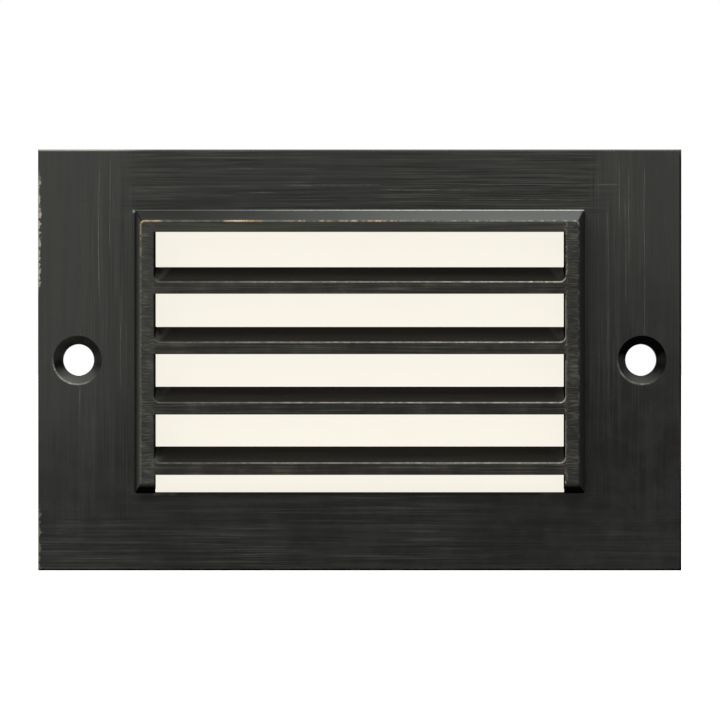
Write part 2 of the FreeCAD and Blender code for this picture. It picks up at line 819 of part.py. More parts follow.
def housing_holes(body, post_start, side_start, bracket_back, pad_start):
    """Through holes for the long screws and the gland, and tapped holes in the bosses."""
    through = new_sketch(body, "through_circles", "XZ_Plane", along=post_start)
    for side in (-1, 1):
        for end in (-1, 1):
            circle_at(through, side * housing_screw_x, end * housing_screw_z,
                      medium_hole)
    cut(body, "through_holes", through, S.housing_depth - post_start)

    side_taps = new_sketch(body, "side_tap_circles", "XZ_Plane", along=side_start)
    for side in (-1, 1):
        circle_at(side_taps, side * reflector_screw_x, 0, medium_hole)
    cut(body, "side_taps", side_taps, S.tapped_depth_in_boss)

    bracket_taps = new_sketch(body, "bracket_tap_circles", "XZ_Plane", along=bracket_back)
    for end in (-1, 1):
        circle_at(bracket_taps, 0, end * S.bracket_screw_half_spacing, medium_hole)
    cut(body, "bracket_taps", bracket_taps, S.tapped_depth_in_boss)

    pad_tap = new_sketch(body, "pad_tap_circle", "XZ_Plane", along=pad_start)
    circle_at(pad_tap, block_centre, 0, small_hole)
    cut(body, "pad_tap", pad_tap, S.block_tapped_depth)

    entry = new_sketch(body, "gland_hole_circle", "XZ_Plane", along=S.housing_depth - S.housing_back)
    circle_at(entry, gland_centre, 0, S.gland_thread_radius + S.clearance)
    cut(body, "gland_hole", entry, S.housing_back)


def housing_gasket():
    """Flat rubber ring between the plate and the mouth of the housing."""
    body = new_body("housing_gasket", y=seat)
    ring = new_sketch(body, "ring", "XZ_Plane")
    rounded_rectangle(ring, housing_half_width, housing_half_height, S.housing_corner_radius)
    rounded_rectangle(ring, housing_inner_half_width, housing_inner_half_height, housing_inner_corner)
    add(body, "gasket", ring, S.housing_gasket_thickness)
    return body


def housing_screws():
    """Four long screws from the back of the housing into the bosses of the plate."""
    back = housing_outside + S.screw_seal_thickness
    length = back - seat + S.tapped_depth_in_plate - S.screw_tip_gap
    place = (-housing_screw_x, back, -housing_screw_z)
    return medium_screws("housing_screws", length, -1, place,
                         2 * housing_screw_x, 2 * housing_screw_z)


def screw_seals():
    """Rubber rings under the heads of the long screws."""
    body = new_body("screw_seals", y=housing_outside)
    rings = new_sketch(body, "rings", "XZ_Plane")
    for side in (-1, 1):
        for end in (-1, 1):
            x = side * housing_screw_x
            z = end * housing_screw_z
            circle_at(rings, x, z, S.screw_seal_radius)
            circle_at(rings, x, z, medium_hole)
    add(body, "seals", rings, S.screw_seal_thickness)
    return body


# ---- reflector ----


def reflector():
    """Pressed sheet tray round the lamp, with a flange and two ears."""
    body = new_body("reflector", y=reflector_front)
    flange = new_sketch(body, "flange_outline", "XZ_Plane")
    width = reflector_flange_half_width
    height = reflector_flange_half_height
    ear = S.reflector_ear_half_height
    reach = housing_inner_half_width - S.clearance
    polygon(flange, [
        (-width, -height), (width, -height), (width, -ear), (reach, -ear), (reach, ear), (width, ear),
        (width, height), (-width, height), (-width, ear), (-reach, ear), (-reach, -ear), (-width, -ear),
    ])
    add(body, "flange", flange, S.reflector_sheet)

    mouth_width = width - S.reflector_side_flange
    mouth_height = height - S.reflector_end_flange
    wide = (mouth_width, mouth_height)
    narrow = (mouth_width - S.reflector_side_taper, mouth_height - S.reflector_end_taper)
    tray = tray_loft(body, "Additive", "tray", wide, narrow, S.reflector_sheet, S.reflector_sheet)
    tray_loft(body, "Subtractive", "hollow", wide, narrow, as_size(0), as_size(0))
    hole = new_sketch(body, "lamp_hole_circle", "XZ_Plane", along=reflector_depth)
    circle_at(hole, 0, 0, S.lamp_base_radius + S.reflector_hole_gap)
    cut(body, "lamp_hole", hole, S.reflector_sheet)
    ears = new_sketch(body, "ear_hole_circles", "XZ_Plane")
    for side in (-1, 1):
        circle_at(ears, side * reflector_screw_x, 0, medium_hole)
    cut(body, "ear_holes", ears, S.reflector_sheet)
    return tray


def tray_loft(body, kind, name, wide, narrow, grow, extra_depth):
    """The tray's tapering shape, grown outwards by its sheet or left as the hollow."""
    mouth = new_sketch(body, name + "_mouth", "XZ_Plane")
    floor = new_sketch(body, name + "_floor", "XZ_Plane", along=reflector_depth + extra_depth)
    for sketch, (half_width, half_height) in ((mouth, wide), (floor, narrow)):
        x = half_width + grow
        z = half_height + grow
        rectangle(sketch, -x, -z, x, z)
    return loft(body, kind, name, mouth, floor)


def reflector_screws():
    """Two screws through the ears of the reflector."""
    length = S.reflector_sheet + S.tapped_depth_in_boss - S.screw_tip_gap
    place = (-reflector_screw_x, reflector_front, 0)
    return medium_screws("reflector_screws", length, 1, place, 2 * reflector_screw_x, None)


# ---- lamp holder and what carries it ----

def lamp_bracket():
    """Flat steel strip across the two bosses of the back wall."""
    body = new_body("lamp_bracket", y=bracket_front)
    outline = new_sketch(body, "outline", "XZ_Plane")
    rounded_rectangle(outline, S.bracket_half_width, S.bracket_half_length, S.bracket_corner_radius)
    add(body, "strip", outline, S.bracket_sheet)
    openings = new_sketch(body, "openings", "XZ_Plane")
    half_width = S.bracket_slot_half_width
    half_length = S.bracket_slot_half_length
    rectangle(openings, -half_width, -half_length, half_width, half_length)
    for end in (-1, 1):
        circle_at(openings, 0, end * S.bracket_screw_half_spacing, medium_hole)
        circle_at(openings, 0, end * S.holder_screw_half_spacing, small_hole)
    cut(body, "openings_cut", openings, S.bracket_sheet)
    return body


def bracket_screws():
    """Two screws that hold the strip to its bosses."""
    length = S.bracket_sheet + S.tapped_depth_in_boss - 3 * S.screw_tip_gap
    place = (0, bracket_front, -S.bracket_screw_half_spacing)
    return medium_screws("bracket_screws", length, 1, place, None, 2 * S.bracket_screw_half_spacing)


def lamp_holder():
    """Ceramic block with two pin entries and two sunk screw holes."""
    body = new_body("lamp_holder", y=holder_front)
    outline = new_sketch(body, "outline", "XZ_Plane")
    rectangle(outline, -S.holder_half_width, -S.holder_half_length, S.holder_half_width, S.holder_half_length)
    block = add(body, "block", outline, S.holder_depth)
    uprights = edges_where(block, lambda edge: edge.BoundBox.YLength > 1)
    round_edges(body, "upright_rounds", block, uprights, S.holder_edge_round)
    entries = new_sketch(body, "pin_entry_circles", "XZ_Plane")
    cavities = new_sketch(body, "contact_cavity_circles", "XZ_Plane", along=S.holder_pin_entry_depth)
    holes = new_sketch(body, "screw_hole_circles", "XZ_Plane")
    sinks = new_sketch(body, "counterbore_circles", "XZ_Plane")
    for end in (-1, 1):
        circle_at(entries, 0, end * S.contact_half_spacing, S.lamp_pin_radius + S.clearance)
        circle_at(cavities, 0, end * S.contact_half_spacing, S.contact_outer_radius + S.clearance)
        circle_at(holes, 0, end * S.holder_screw_half_spacing, small_hole)
        circle_at(sinks, 0, end * S.holder_screw_half_spacing, S.holder_counterbore_radius)
    cut(body, "pin_entries", entries, S.holder_pin_entry_depth)
    cut(body, "contact_cavities", cavities, S.holder_depth - S.holder_pin_entry_depth)
    cut(body, "screw_holes", holes, S.holder_depth)
    cut(body, "counterbores", sinks, S.holder_counterbore_depth)
    return body


def holder_screws():
    """Two small screws, sunk in the ceramic, tapped into the strip."""
    under_head = holder_front + S.holder_counterbore_depth
    length = S.holder_depth - S.holder_counterbore_depth + S.bracket_sheet + S.screw_tip_gap
    place = (0, under_head, -S.holder_screw_half_spacing)
    return small_screws("holder_screws", length, 1, place, None, 2 * S.holder_screw_half_spacing)


def holder_contacts():
    """Two brass tubes that take the lamp's pins; the leads are soldered to their tails."""
    body = new_body("holder_contacts", y=contact_front)
    rings = new_sketch(body, "rings", "XZ_Plane")
    for end in (-1, 1):
        circle_at(rings, 0, end * S.contact_half_spacing, S.contact_outer_radius)
        circle_at(rings, 0, end * S.contact_half_spacing, S.lamp_pin_radius + S.clearance)
    add(body, "tubes", rings, S.contact_length)
    return body


# ---- plug-in lamp ----


def lamp_board():
    """Round circuit board."""
    body = new_body("lamp_board", y=board_front)
    disc = new_sketch(body, "disc", "XZ_Plane")
    circle_at(disc, 0, 0, S.lamp_board_radius)
    add(body, "board", disc, S.lamp_board_thickness)
    return body


def lamp_chips():
    """Light-emitting chips in two rings on the front of the board."""
    body = new_body("lamp_chips", y=board_front - S.chip_thickness)
    rings = (
        ("outer", S.chip_outer_ring, S.chip_outer_count),
        ("inner", S.chip_inner_ring, S.chip_inner_count),
    )
    for name, ring, count in rings:
        sketch = new_sketch(body, name + "_chip_outline", "XZ_Plane")
        near = ring - S.chip_height / 2
        far = ring + S.chip_height / 2
        rectangle(sketch, near, -S.chip_width / 2, far, S.chip_width / 2)
        chip = add(body, name + "_chip", sketch, S.chip_thickness)
        chips = body.newObject("PartDesign::PolarPattern", name + "_chips")
        chips.Originals = [chip]
        chips.Axis = (origin_feature(body, "Y_Axis"), [""])
        chips.Angle = 360
        chips.setExpression("Occurrences", count.text)
        body.Tip = chips
        doc.recompute()
    return body


def lamp_base():
    """Moulded foot of the lamp, with a hole for each pin."""
    body = new_body("lamp_base", y=lamp_base_front)
    disc = new_sketch(body, "disc", "XZ_Plane")
    circle_at(disc, 0, 0, S.lamp_base_radius)
    for end in (-1, 1):
        circle_at(disc, 0, end * S.contact_half_spacing, S.lamp_pin_radius + S.clearance)
    add(body, "foot", disc, S.lamp_base_height)
    return body


def lamp_pins():
    """Two straight pins, from the board through the foot into the contacts."""
    body = new_body("lamp_pins", y=lamp_base_front)
    circles = new_sketch(body, "circles", "XZ_Plane")
    for end in (-1, 1):
        circle_at(circles, 0, end * S.contact_half_spacing, S.lamp_pin_radius)
    add(body, "pins", circles, S.lamp_pin_length)
    return body


# ---- terminal block ----


def terminal_block():
    """Moulded two-way block: a channel for each barrel and a well for each screw."""
    body = new_body("terminal_block", x=block_centre, y=block_front)
    outline = new_sketch(body, "outline", "XZ_Plane")
    half = S.block_length / 2
    rectangle(outline, -half, -S.block_half_height, half, S.block_half_height)
    add(body, "block", outline, S.block_depth)
    axis = S.block_depth - S.block_wire_height
    reach = S.block_channel_size / 2
    channels = new_sketch(body, "channel_outlines", "YZ_Plane", along=-half)
    wells = new_sketch(body, "well_circles", "XZ_Plane")
    for end in (-1, 1):
        middle = end * S.block_pole_half_spacing
        rectangle(channels, axis - reach, middle - reach, axis + reach, middle + reach)
        for side in (-1, 1):
            circle_at(wells, side * S.clamp_screw_half_spacing, middle, medium_hole)
    cut(body, "channels", channels, S.block_length)
    cut(body, "wells", wells, axis)
    hole = new_sketch(body, "fixing_hole_circle", "XZ_Plane")
    circle_at(hole, 0, 0, small_hole)
    cut(body, "fixing_hole", hole, S.block_depth)
    return body


def terminal_barrels():
    """Two brass barrels, bored for the wires and tapped for the clamping screws."""
    body = new_body("terminal_barrels", x=block_centre, y=wire_line)
    half = S.barrel_size / 2
    bars = new_sketch(body, "bar_outlines", "YZ_Plane", along=-S.barrel_length / 2)
    bores = new_sketch(body, "bore_circles", "YZ_Plane", along=-S.barrel_length / 2)
    taps = new_sketch(body, "tap_circles", "XZ_Plane", along=-half)
    for end in (-1, 1):
        middle = end * S.block_pole_half_spacing
        rectangle(bars, -half, middle - half, half, middle + half)
        circle_at(bores, 0, middle, S.lead_radius + S.clearance)
        for side in (-1, 1):
            circle_at(taps, side * S.clamp_screw_half_spacing, middle, medium_hole)
    add(body, "bars", bars, S.barrel_length)
    cut(body, "bores", bores, S.barrel_length)
    cut(body, "taps", taps, half)
    return body


def terminal_screws():
    """Four headless clamping screws, slotted on the front."""
    front = block_front + S.clamp_screw_depth
    length = wire_line - S.lead_radius - S.clearance - front
    place = (block_centre - S.clamp_screw_half_spacing, front, -S.block_pole_half_spacing)
    body = new_body("terminal_screws", *place)
    radius = S.medium_screw_radius
    turn(body, "screw", [(0, 0), (radius, 0), (radius, length), (0, length)])
    slot = new_sketch(body, "slot_outline", "XZ_Plane")
    rectangle(slot, -radius, -S.screw_slot_width / 2, radius, S.screw_slot_width / 2)
    cut(body, "slot", slot, S.screw_slot_depth)
    repeat_whole(body, "screws", 2 * S.clamp_screw_half_spacing, 2 * S.block_pole_half_spacing)
    return body


def block_screw():
    """Small screw through the middle of the terminal block into its pad."""
    length = S.block_depth + S.block_tapped_depth - S.screw_tip_gap
    return small_screws("block_screw", length, 1, (block_centre, block_front, 0), None, None)


# ---- internal leads ----

def route_with_bends(corners, radius):
    """Straight runs through the corners, joined by tangent arcs."""
    edges = []
    start = corners[0]
    for before, corner, after in zip(corners, corners[1:], corners[2:]):
        back = (before - corner).normalize()
        onward = (after - corner).normalize()
        half_angle = back.getAngle(onward) / 2
        run = radius / math.tan(half_angle)
        first = corner + back * run
        last = corner + onward * run
        inward = (back + onward).normalize()
        centre = corner + inward * (radius / math.sin(half_angle))
        middle = centre - inward * radius
        edges.append(Part.LineSegment(start, first).toShape())
        edges.append(Part.Arc(first, middle, last).toShape())
        start = last
    edges.append(Part.LineSegment(start, corners[-1]).toShape())
    return Part.Wire(edges)


def lead(label, side):
    """An insulated wire from the tail of one contact to its terminal barrel."""
    tail = contact_front.number + S.contact_length.number
    depth = wire_line.number
    near = side * S.contact_half_spacing.number
    far = side * S.block_pole_half_spacing.number
    corners = [
        FreeCAD.Vector(0, tail, near),
        FreeCAD.Vector(0, depth, near),
        FreeCAD.Vector(S.lead_spread_start.number, depth, near),
        FreeCAD.Vector(S.lead_spread_end.number, depth, far),
        FreeCAD.Vector(S.lead_end.number, depth, far),
    ]
    route = route_with_bends(corners, S.lead_bend_radius.number)
    section = Part.Wire([Part.makeCircle(S.lead_radius.number, corners[0], FreeCAD.Vector(0, 1, 0))])
    feature = doc.addObject("Part::Feature", label)
    feature.Label = label
    feature.Shape = route.makePipeShell([section], True, False)
    feature.Placement = FreeCAD.Placement()
    return feature


# ---- cable gland, about its own axis, from the outer face of the housing ----

def gland_place(y):
    """Where a gland piece sits, y being its depth over the back of the plate."""
    return (gland_centre, y, 0)


def gland_washer():
    """Rubber washer between the gland and the housing."""
    body = new_body("gland_washer", *gland_place(housing_outside))
    ring = new_sketch(body, "ring", "XZ_Plane")
    circle_at(ring, 0, 0, S.gland_washer_radius)
    circle_at(ring, 0, 0, S.gland_thread_radius + S.clearance)
    add(body, "washer", ring, S.gland_washer_thickness)
    return body


def gland_body():
    """Gland body: thread through the wall, hexagon outside, neck for the dome nut."""
    body = new_body("gland_body", *gland_place(gland_flange))
    hexagon_sketch = new_sketch(body, "hexagon", "XZ_Plane")
    hexagon(hexagon_sketch, S.gland_hex_across)
    add(body, "hexagon_flange", hexagon_sketch, S.gland_hex_height)
    thread = new_sketch(body, "thread_circle", "XZ_Plane", along=-S.gland_thread_length)
    circle_at(thread, 0, 0, S.gland_thread_radius)
    length = S.gland_thread_length + S.gland_hex_height + S.gland_neck_length
    add(body, "thread_and_neck", thread, length)
    bore = new_sketch(body, "bore_circle", "XZ_Plane", along=-S.gland_thread_length)
    circle_at(bore, 0, 0, S.gland_bore_radius)
    cut(body, "bore", bore, length)
    top = S.gland_hex_height + S.gland_neck_length
    seat = new_sketch(body, "seat_circle", "XZ_Plane", along=top - S.gland_seat_depth)
    circle_at(seat, 0, 0, S.gland_seat_radius)
    cut(body, "seat", seat, S.gland_seat_depth)
    return body


def gland_seal():
    """Rubber sleeve that grips the cable."""
    body = new_body("gland_seal", *gland_place(gland_seat))
    ring = new_sketch(body, "ring", "XZ_Plane")
    circle_at(ring, 0, 0, S.gland_seat_radius - S.clearance)
    circle_at(ring, 0, 0, S.gland_seal_bore_radius)
    add(body, "sleeve", ring, S.gland_seal_length)
    return body


def gland_locknut():
    """Hexagon nut on the gland's thread, inside the housing."""
    body = new_body("gland_locknut", *gland_place(back_wall_inside - S.gland_locknut_height))
    outline = new_sketch(body, "hexagon", "XZ_Plane")
    hexagon(outline, S.gland_locknut_across)
    circle_at(outline, 0, 0, S.gland_thread_radius + S.clearance)
    add(body, "nut", outline, S.gland_locknut_height)
    return body


def gland_nut():
    """Domed nut that squeezes the sleeve on the cable."""
    sleeve_end = gland_seat + S.gland_seal_length
    nut_end = sleeve_end + S.gland_nut_lip
    start = nut_end - S.gland_nut_height
    body = new_body("gland_nut", *gland_place(start))
    outline = new_sketch(body, "hexagon", "XZ_Plane")
    hexagon(outline, S.gland_nut_across)
    add(body, "hexagon_part", outline, S.gland_nut_hex_height)
    shoulder = S.gland_nut_across / 2 - S.clearance
    turn(body, "nose", [
        (0, S.gland_nut_hex_height - S.gland_nut_shoulder),
        (shoulder, S.gland_nut_hex_height - S.gland_nut_shoulder),
        (shoulder, S.gland_nut_hex_height + S.gland_nut_shoulder),
        (S.gland_nut_nose_radius, S.gland_nut_height),
        (0, S.gland_nut_height),
    ])
    inside = new_sketch(body, "inside_circle", "XZ_Plane")
    circle_at(inside, 0, 0, S.gland_thread_radius + S.clearance)
    neck_end = gland_top - start + S.clearance
    cut(body, "inside", inside, neck_end)
    sleeve_room = new_sketch(body, "sleeve_room_circle", "XZ_Plane")
    circle_at(sleeve_room, 0, 0, S.gland_seat_radius)
    cut(body, "sleeve_room", sleeve_room, S.gland_nut_height - S.gland_nut_lip)
    mouth = new_sketch(body, "mouth_circle", "XZ_Plane")
    circle_at(mouth, 0, 0, S.gland_nut_hole_radius)
    cut(body, "mouth", mouth, S.gland_nut_height)
    return body


# ---- the whole light ----

faceplate()
lens_gasket()
lens()
lens_retainer()
retainer_screws()
housing()
housing_gasket()
housing_screws()
screw_seals()
reflector()
reflector_screws()
lamp_bracket()
bracket_screws()
lamp_holder()
holder_screws()
holder_contacts()
lamp_board()
lamp_chips()
lamp_base()
lamp_pins()
terminal_block()
terminal_barrels()
terminal_screws()
block_screw()
lead("lead_red", 1)
lead("lead_black", -1)
gland_washer()
gland_body()
gland_seal()
gland_locknut()
gland_nut()
doc.recompute()

for item in doc.Objects:
    if "Invalid" in item.State or "Error" in item.State:
        raise RuntimeError("%s: %s" % (item.Name, item.State))
subparts = [item for item in doc.Objects if item.TypeId == "PartDesign::Body"]
subparts += [item for item in doc.Objects if item.TypeId == "Part::Feature"]
for item in subparts:
    shape = item.Shape
    if shape.isNull() or not shape.isValid() or not shape.Solids:
        raise RuntimeError("%s has no sound solid" % item.Label)
    shape.exportStep("parts/%s.step" % item.Label)
    print("%-18s solids %2d  volume %10.2f mm3" % (item.Label, len(shape.Solids), shape.Volume))
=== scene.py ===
import math

import bpy
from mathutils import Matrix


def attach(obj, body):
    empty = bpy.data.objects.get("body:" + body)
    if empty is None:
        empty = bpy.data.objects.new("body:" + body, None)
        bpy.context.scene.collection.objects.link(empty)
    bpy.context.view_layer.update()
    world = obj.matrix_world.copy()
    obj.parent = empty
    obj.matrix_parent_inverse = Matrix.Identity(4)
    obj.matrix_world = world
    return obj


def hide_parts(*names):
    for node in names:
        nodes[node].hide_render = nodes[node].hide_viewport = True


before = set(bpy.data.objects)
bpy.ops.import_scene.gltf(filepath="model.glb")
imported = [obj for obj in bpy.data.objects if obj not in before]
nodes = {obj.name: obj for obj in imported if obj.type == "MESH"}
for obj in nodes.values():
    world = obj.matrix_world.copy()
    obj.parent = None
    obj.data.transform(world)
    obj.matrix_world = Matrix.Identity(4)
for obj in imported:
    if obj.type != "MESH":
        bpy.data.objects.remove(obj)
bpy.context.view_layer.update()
scene = bpy.context.scene


# ---- faceplate ----
# One brass casting: plate, raised hood and four sloping slats. It is brushed by hand, given
# a dark bronze patina and rubbed back, so bare brass shows on the edges. Two countersunk
# holes take the wall screws.

class Value:
    """A socket of a node tree, so that shader maths can be written as expressions."""

    def __init__(self, owner, socket):
        self.owner = owner
        self.socket = socket

    def maths(self, operation, *inputs):
        node = self.owner.add("ShaderNodeMath", dict(operation=operation), dict(enumerate(inputs)))
        return Value(self.owner, node.outputs[0])

    def __add__(self, other):
        return self.maths("ADD", self, other)

    def __radd__(self, other):
        return self.maths("ADD", other, self)

    def __sub__(self, other):
        return self.maths("SUBTRACT", self, other)

    def __rsub__(self, other):
        return self.maths("SUBTRACT", other, self)

    def __mul__(self, other):
        return self.maths("MULTIPLY", self, other)

    def __rmul__(self, other):
        return self.maths("MULTIPLY", other, self)

    def __truediv__(self, other):
        return self.maths("DIVIDE", self, other)

    def __abs__(self):
        return self.maths("ABSOLUTE", self)

    def at_least(self, other):
        return self.maths("MAXIMUM", self, other)

    def folded(self, pitch):
        """The value counted again from 0 at every pitch."""
        return self.maths("WRAP", self, pitch, 0.0)

    def root(self):
        return self.maths("POWER", self.at_least(0), 0.5)

    def toward(self, other, amount):
        """This value where the amount is 0, and the other where it is 1."""
        return self + (other - self) * amount

    def step(self, start, end):
        """0 up to the start, 1 from the end and smooth between; the end may be the lower."""
        node = self.owner.add("ShaderNodeMapRange", dict(interpolation_type="SMOOTHSTEP"),
                              {"Value": self, "From Min": start, "From Max": end})
        return Value(self.owner, node.outputs["Result"])

    def near(self, place, reach):
        """1 at the place, and 0 further than the reach from it."""
        return (abs(self - place) * (1 / reach)).step(1, 0)


def most(first, *others):
    """The largest of several values."""
    for other in others:
        first = first.at_least(other)
    return first


def diagonal(one, other):
    """The distance made up of two that stand square to each other."""
    return (one * one + other * other).root()


class Nodes:
    """The node tree of a material or of the world."""

    def __init__(self, tree):
        self.tree = tree

    def add(self, kind, settings=None, inputs=None):
        """Adds a node with its settings, then feeds its sockets, by name or number."""
        node = self.tree.nodes.new(kind)
        for name, setting in (settings or {}).items():
            setattr(node, name, setting)
        for name, value in (inputs or {}).items():
            self.feed(node.inputs[name], value)
        return node

    def feed(self, socket, value):
        """Links a socket to a value, or sets it to a number, a vector or a colour."""
        if isinstance(value, Value):
            value = value.socket
        if isinstance(value, bpy.types.NodeSocket):
            self.tree.links.new(value, socket)
        elif socket.type == "RGBA":
            socket.default_value = (*value, 1)
        else:
            socket.default_value = value

    def split(self, vector):
        """The three parts of a vector."""
        parts = self.add("ShaderNodeSeparateXYZ", inputs={"Vector": vector})
        return [Value(self, socket) for socket in parts.outputs]

    def mix(self, amount, first, second):
        """A colour between two, by an amount from 0 to 1."""
        node = self.add("ShaderNodeMix", dict(data_type="RGBA"), {0: amount, 6: first, 7: second})
        return node.outputs[2]

    def layered(self, base, *layers):
        """A base colour under layers, each given by its amount and its colour."""
        for amount, colour in layers:
            base = self.mix(amount, base, colour)
        return base


class Finish(Nodes):
    """A material, with places on the surface in millimetres and the way it faces."""

    def __init__(self, name, **constants):
        self.material = bpy.data.materials.new(name)
        self.material.use_nodes = True
        super().__init__(self.material.node_tree)
        self.shader = self.tree.nodes["Principled BSDF"]
        for constant, value in constants.items():
            self.set(constant.replace("_", " "), value)
        metres = self.add("ShaderNodeTexCoord").outputs["Object"]
        scaled = self.add("ShaderNodeVectorMath", dict(operation="SCALE"), {"Vector": metres, "Scale": 1000})
        self.place = scaled.outputs[0]
        self.x, self.y, self.z = self.split(self.place)
        normal = self.add("ShaderNodeNewGeometry").outputs["Normal"]
        self.face_x, self.face_y, self.face_z = self.split(normal)

    def set(self, name, value):
        """Feeds a socket of the material's shader."""
        self.feed(self.shader.inputs[name], value)

    def noise(self, grain, detail=2, seed=0.0, rough=0.5):
        """Noise from 0 to 1, with grains of the given length along x, y and z."""
        stretch = tuple(1 / length for length in grain)
        shift = (seed, seed * 1.7, seed * 0.6)
        moved = self.add("ShaderNodeVectorMath", dict(operation="MULTIPLY_ADD"),
                         {0: self.place, 1: stretch, 2: shift})
        noise = self.add("ShaderNodeTexNoise", inputs={
            "Vector": moved.outputs[0], "Scale": 1, "Detail": detail, "Roughness": rough})
        return Value(self, noise.outputs[0])

    def bump(self, height, distance, strength=1):
        """Relief of the surface, as deep as the distance where the height goes from 0 to 1."""
        relief = self.add("ShaderNodeBump", inputs={
            "Height": height, "Distance": distance / 1000, "Strength": strength})
        self.set("Normal", relief.outputs[0])

    def second_shader(self, amount, roughness, specular):
        """Adds a shader that takes over from the first by an amount from 0 to 1."""
        second = self.add("ShaderNodeBsdfPrincipled", inputs={
            "Roughness": roughness, "Specular IOR Level": specular})
        both = self.add("ShaderNodeMixShader", inputs={
            0: amount, 1: self.shader.outputs[0], 2: second.outputs[0]})
        self.feed(self.tree.nodes["Material Output"].inputs["Surface"], both.outputs[0])
        return second


def linear(level):
    """The linear value of an sRGB level from 0 to 255."""
    level = level / 255
    return level / 12.92 if level <= 0.04045 else ((level + 0.055) / 1.055) ** 2.4


def srgb(red, green, blue):
    return (linear(red), linear(green), linear(blue))


def dress(finish, *names):
    """Gives a finish to nodes of the CAD model."""
    for name in names:
        mesh = nodes[name].data
        mesh.materials.clear()
        mesh.materials.append(finish.material)


# sizes in millimetres, as in the CAD model and from the plate's middle; a front is given as y
plate_half, plate_top, plate_front = 55, 36, -3
hood_front, hood_side, hood_top, hood_corner = -10, 37, 23.5, 0.8
foot_side, foot_top, hood_end = 38.6, 25.5, -23.1
slot_half, slot_top, slot_corner = 34.6, 21.5, 0.9
top_lip, slat_pitch = 13.2, 10.17
hole_place, hole_radius, sink_radius = 48.25, 2.7, 4.15

bronze = Finish("dark_bronze_patina", Specular_IOR_Level=0.22)
x, y, z = bronze.x, bronze.y, bronze.z
from_middle = abs(x)
left_side, right_side = x.step(1, -1), x.step(-1, 1)
on_hood = y.step(hood_front + 0.9, hood_front + 0.5)
off_hood = 1 - on_hood
open_face = bronze.face_y.step(-0.80, -0.97)
side_bars = from_middle.step(slot_half - 0.2, slot_half + 0.2) * on_hood
slat_faces = from_middle.step(slot_half + 0.2, slot_half - 0.2) * on_hood
slat_faces = slat_faces * z.step(slot_top + 0.2, slot_top - 0.2)

# the brushed grain runs upright on the plate's ends and level elsewhere
waver = (bronze.noise((5, 9, 5), 3, 3.0, 0.6) - 0.5) * 9
wavy_x = x + waver * 0.6
upright = most(wavy_x.step(-37.5, -41.5), wavy_x.step(38.2, 42.2)) * (z + waver).step(-29.5, -22.5)
beside_hood = from_middle.step(foot_side - 0.3, foot_side + 0.1) * z.step(-25, -21) * z.step(27, 24)
upright = most(upright, beside_hood)
level_fine = bronze.noise((15, 30, 0.16), 3, 1.0, 0.6)
upright_fine = bronze.noise((0.16, 30, 13), 3, 4.0, 0.6)
bar_grain = bronze.noise((2.2, 9, 0.15), 2, 6.0, 0.65)
crossed = upright * z.step(18, 30) * bronze.noise((5, 30, 5), 3, 27.0, 0.6).step(0.45, 0.62) * 0.6
fine = level_fine.toward(upright_fine, upright).toward(bar_grain, side_bars).toward(level_fine, crossed)
broad = bronze.noise((24, 30, 0.8), 3, 2.0).toward(bronze.noise((0.9, 30, 30), 3, 5.0), upright)
blotch = bronze.noise((4.2, 9, 4.2), 4, 20.0, 0.6)

# it is strong only in patches, and weak at the plate's outer ends and lower right
brushed = bronze.noise((12, 30, 9), 2, 21.0).step(0.33, 0.6)
brushed = brushed * (1 - z.step(-20, -26) * (0.25 + x.step(5, 35) * 0.4))
brushed = most(brushed, side_bars * (0.35 + right_side * 0.65)) * (1 - upright * 0.6)
calm = most(upright * from_middle.step(45, 49), z.step(-2, -24) * x.step(4, 34) * 0.9) * off_hood
grain = 1 - calm * 0.55

# long scratches, each from its place and its two ends
level_scratches = (
    (30.0, 18, 46), (29.9, -14, 5), (29.1, 2, 22), (28.8, -22, -13), (27.4, 15, 41),
    (-29.8, -50, -18), (-32.6, -44, -8), (-27.4, -40, -30), (-31.0, 12, 34))
upright_scratches = (
    (44.4, 22, 36), (46.0, 16, 34), (45.4, 8, 31), (48.6, -4, 35), (42.4, 2, 27),
    (-44.6, 10, 34), (-42.7, 18, 36), (-40.9, -6, 12), (-47.9, -12, 6))
wander = bronze.noise((22, 30, 22), 2, 25.0) - 0.5
breaks = 0.2 + bronze.noise((3, 30, 3), 3, 26.0, 0.7).step(0.3, 0.75) * 0.8


def scratch(across, along, place, start, end):
    """A scratch as wide as a hair, which wanders and fades in over a few millimetres."""
    half_width, fade = 0.11, 4
    line = (across + wander).near(place, half_width)
    return line * along.step(start, start + fade) * along.step(end, end - fade)


scratches = most(*[scratch(z, x, *marks) for marks in level_scratches],
                 *[scratch(x, z, *marks) for marks in upright_scratches])
scratches = scratches * breaks * open_face * off_hood

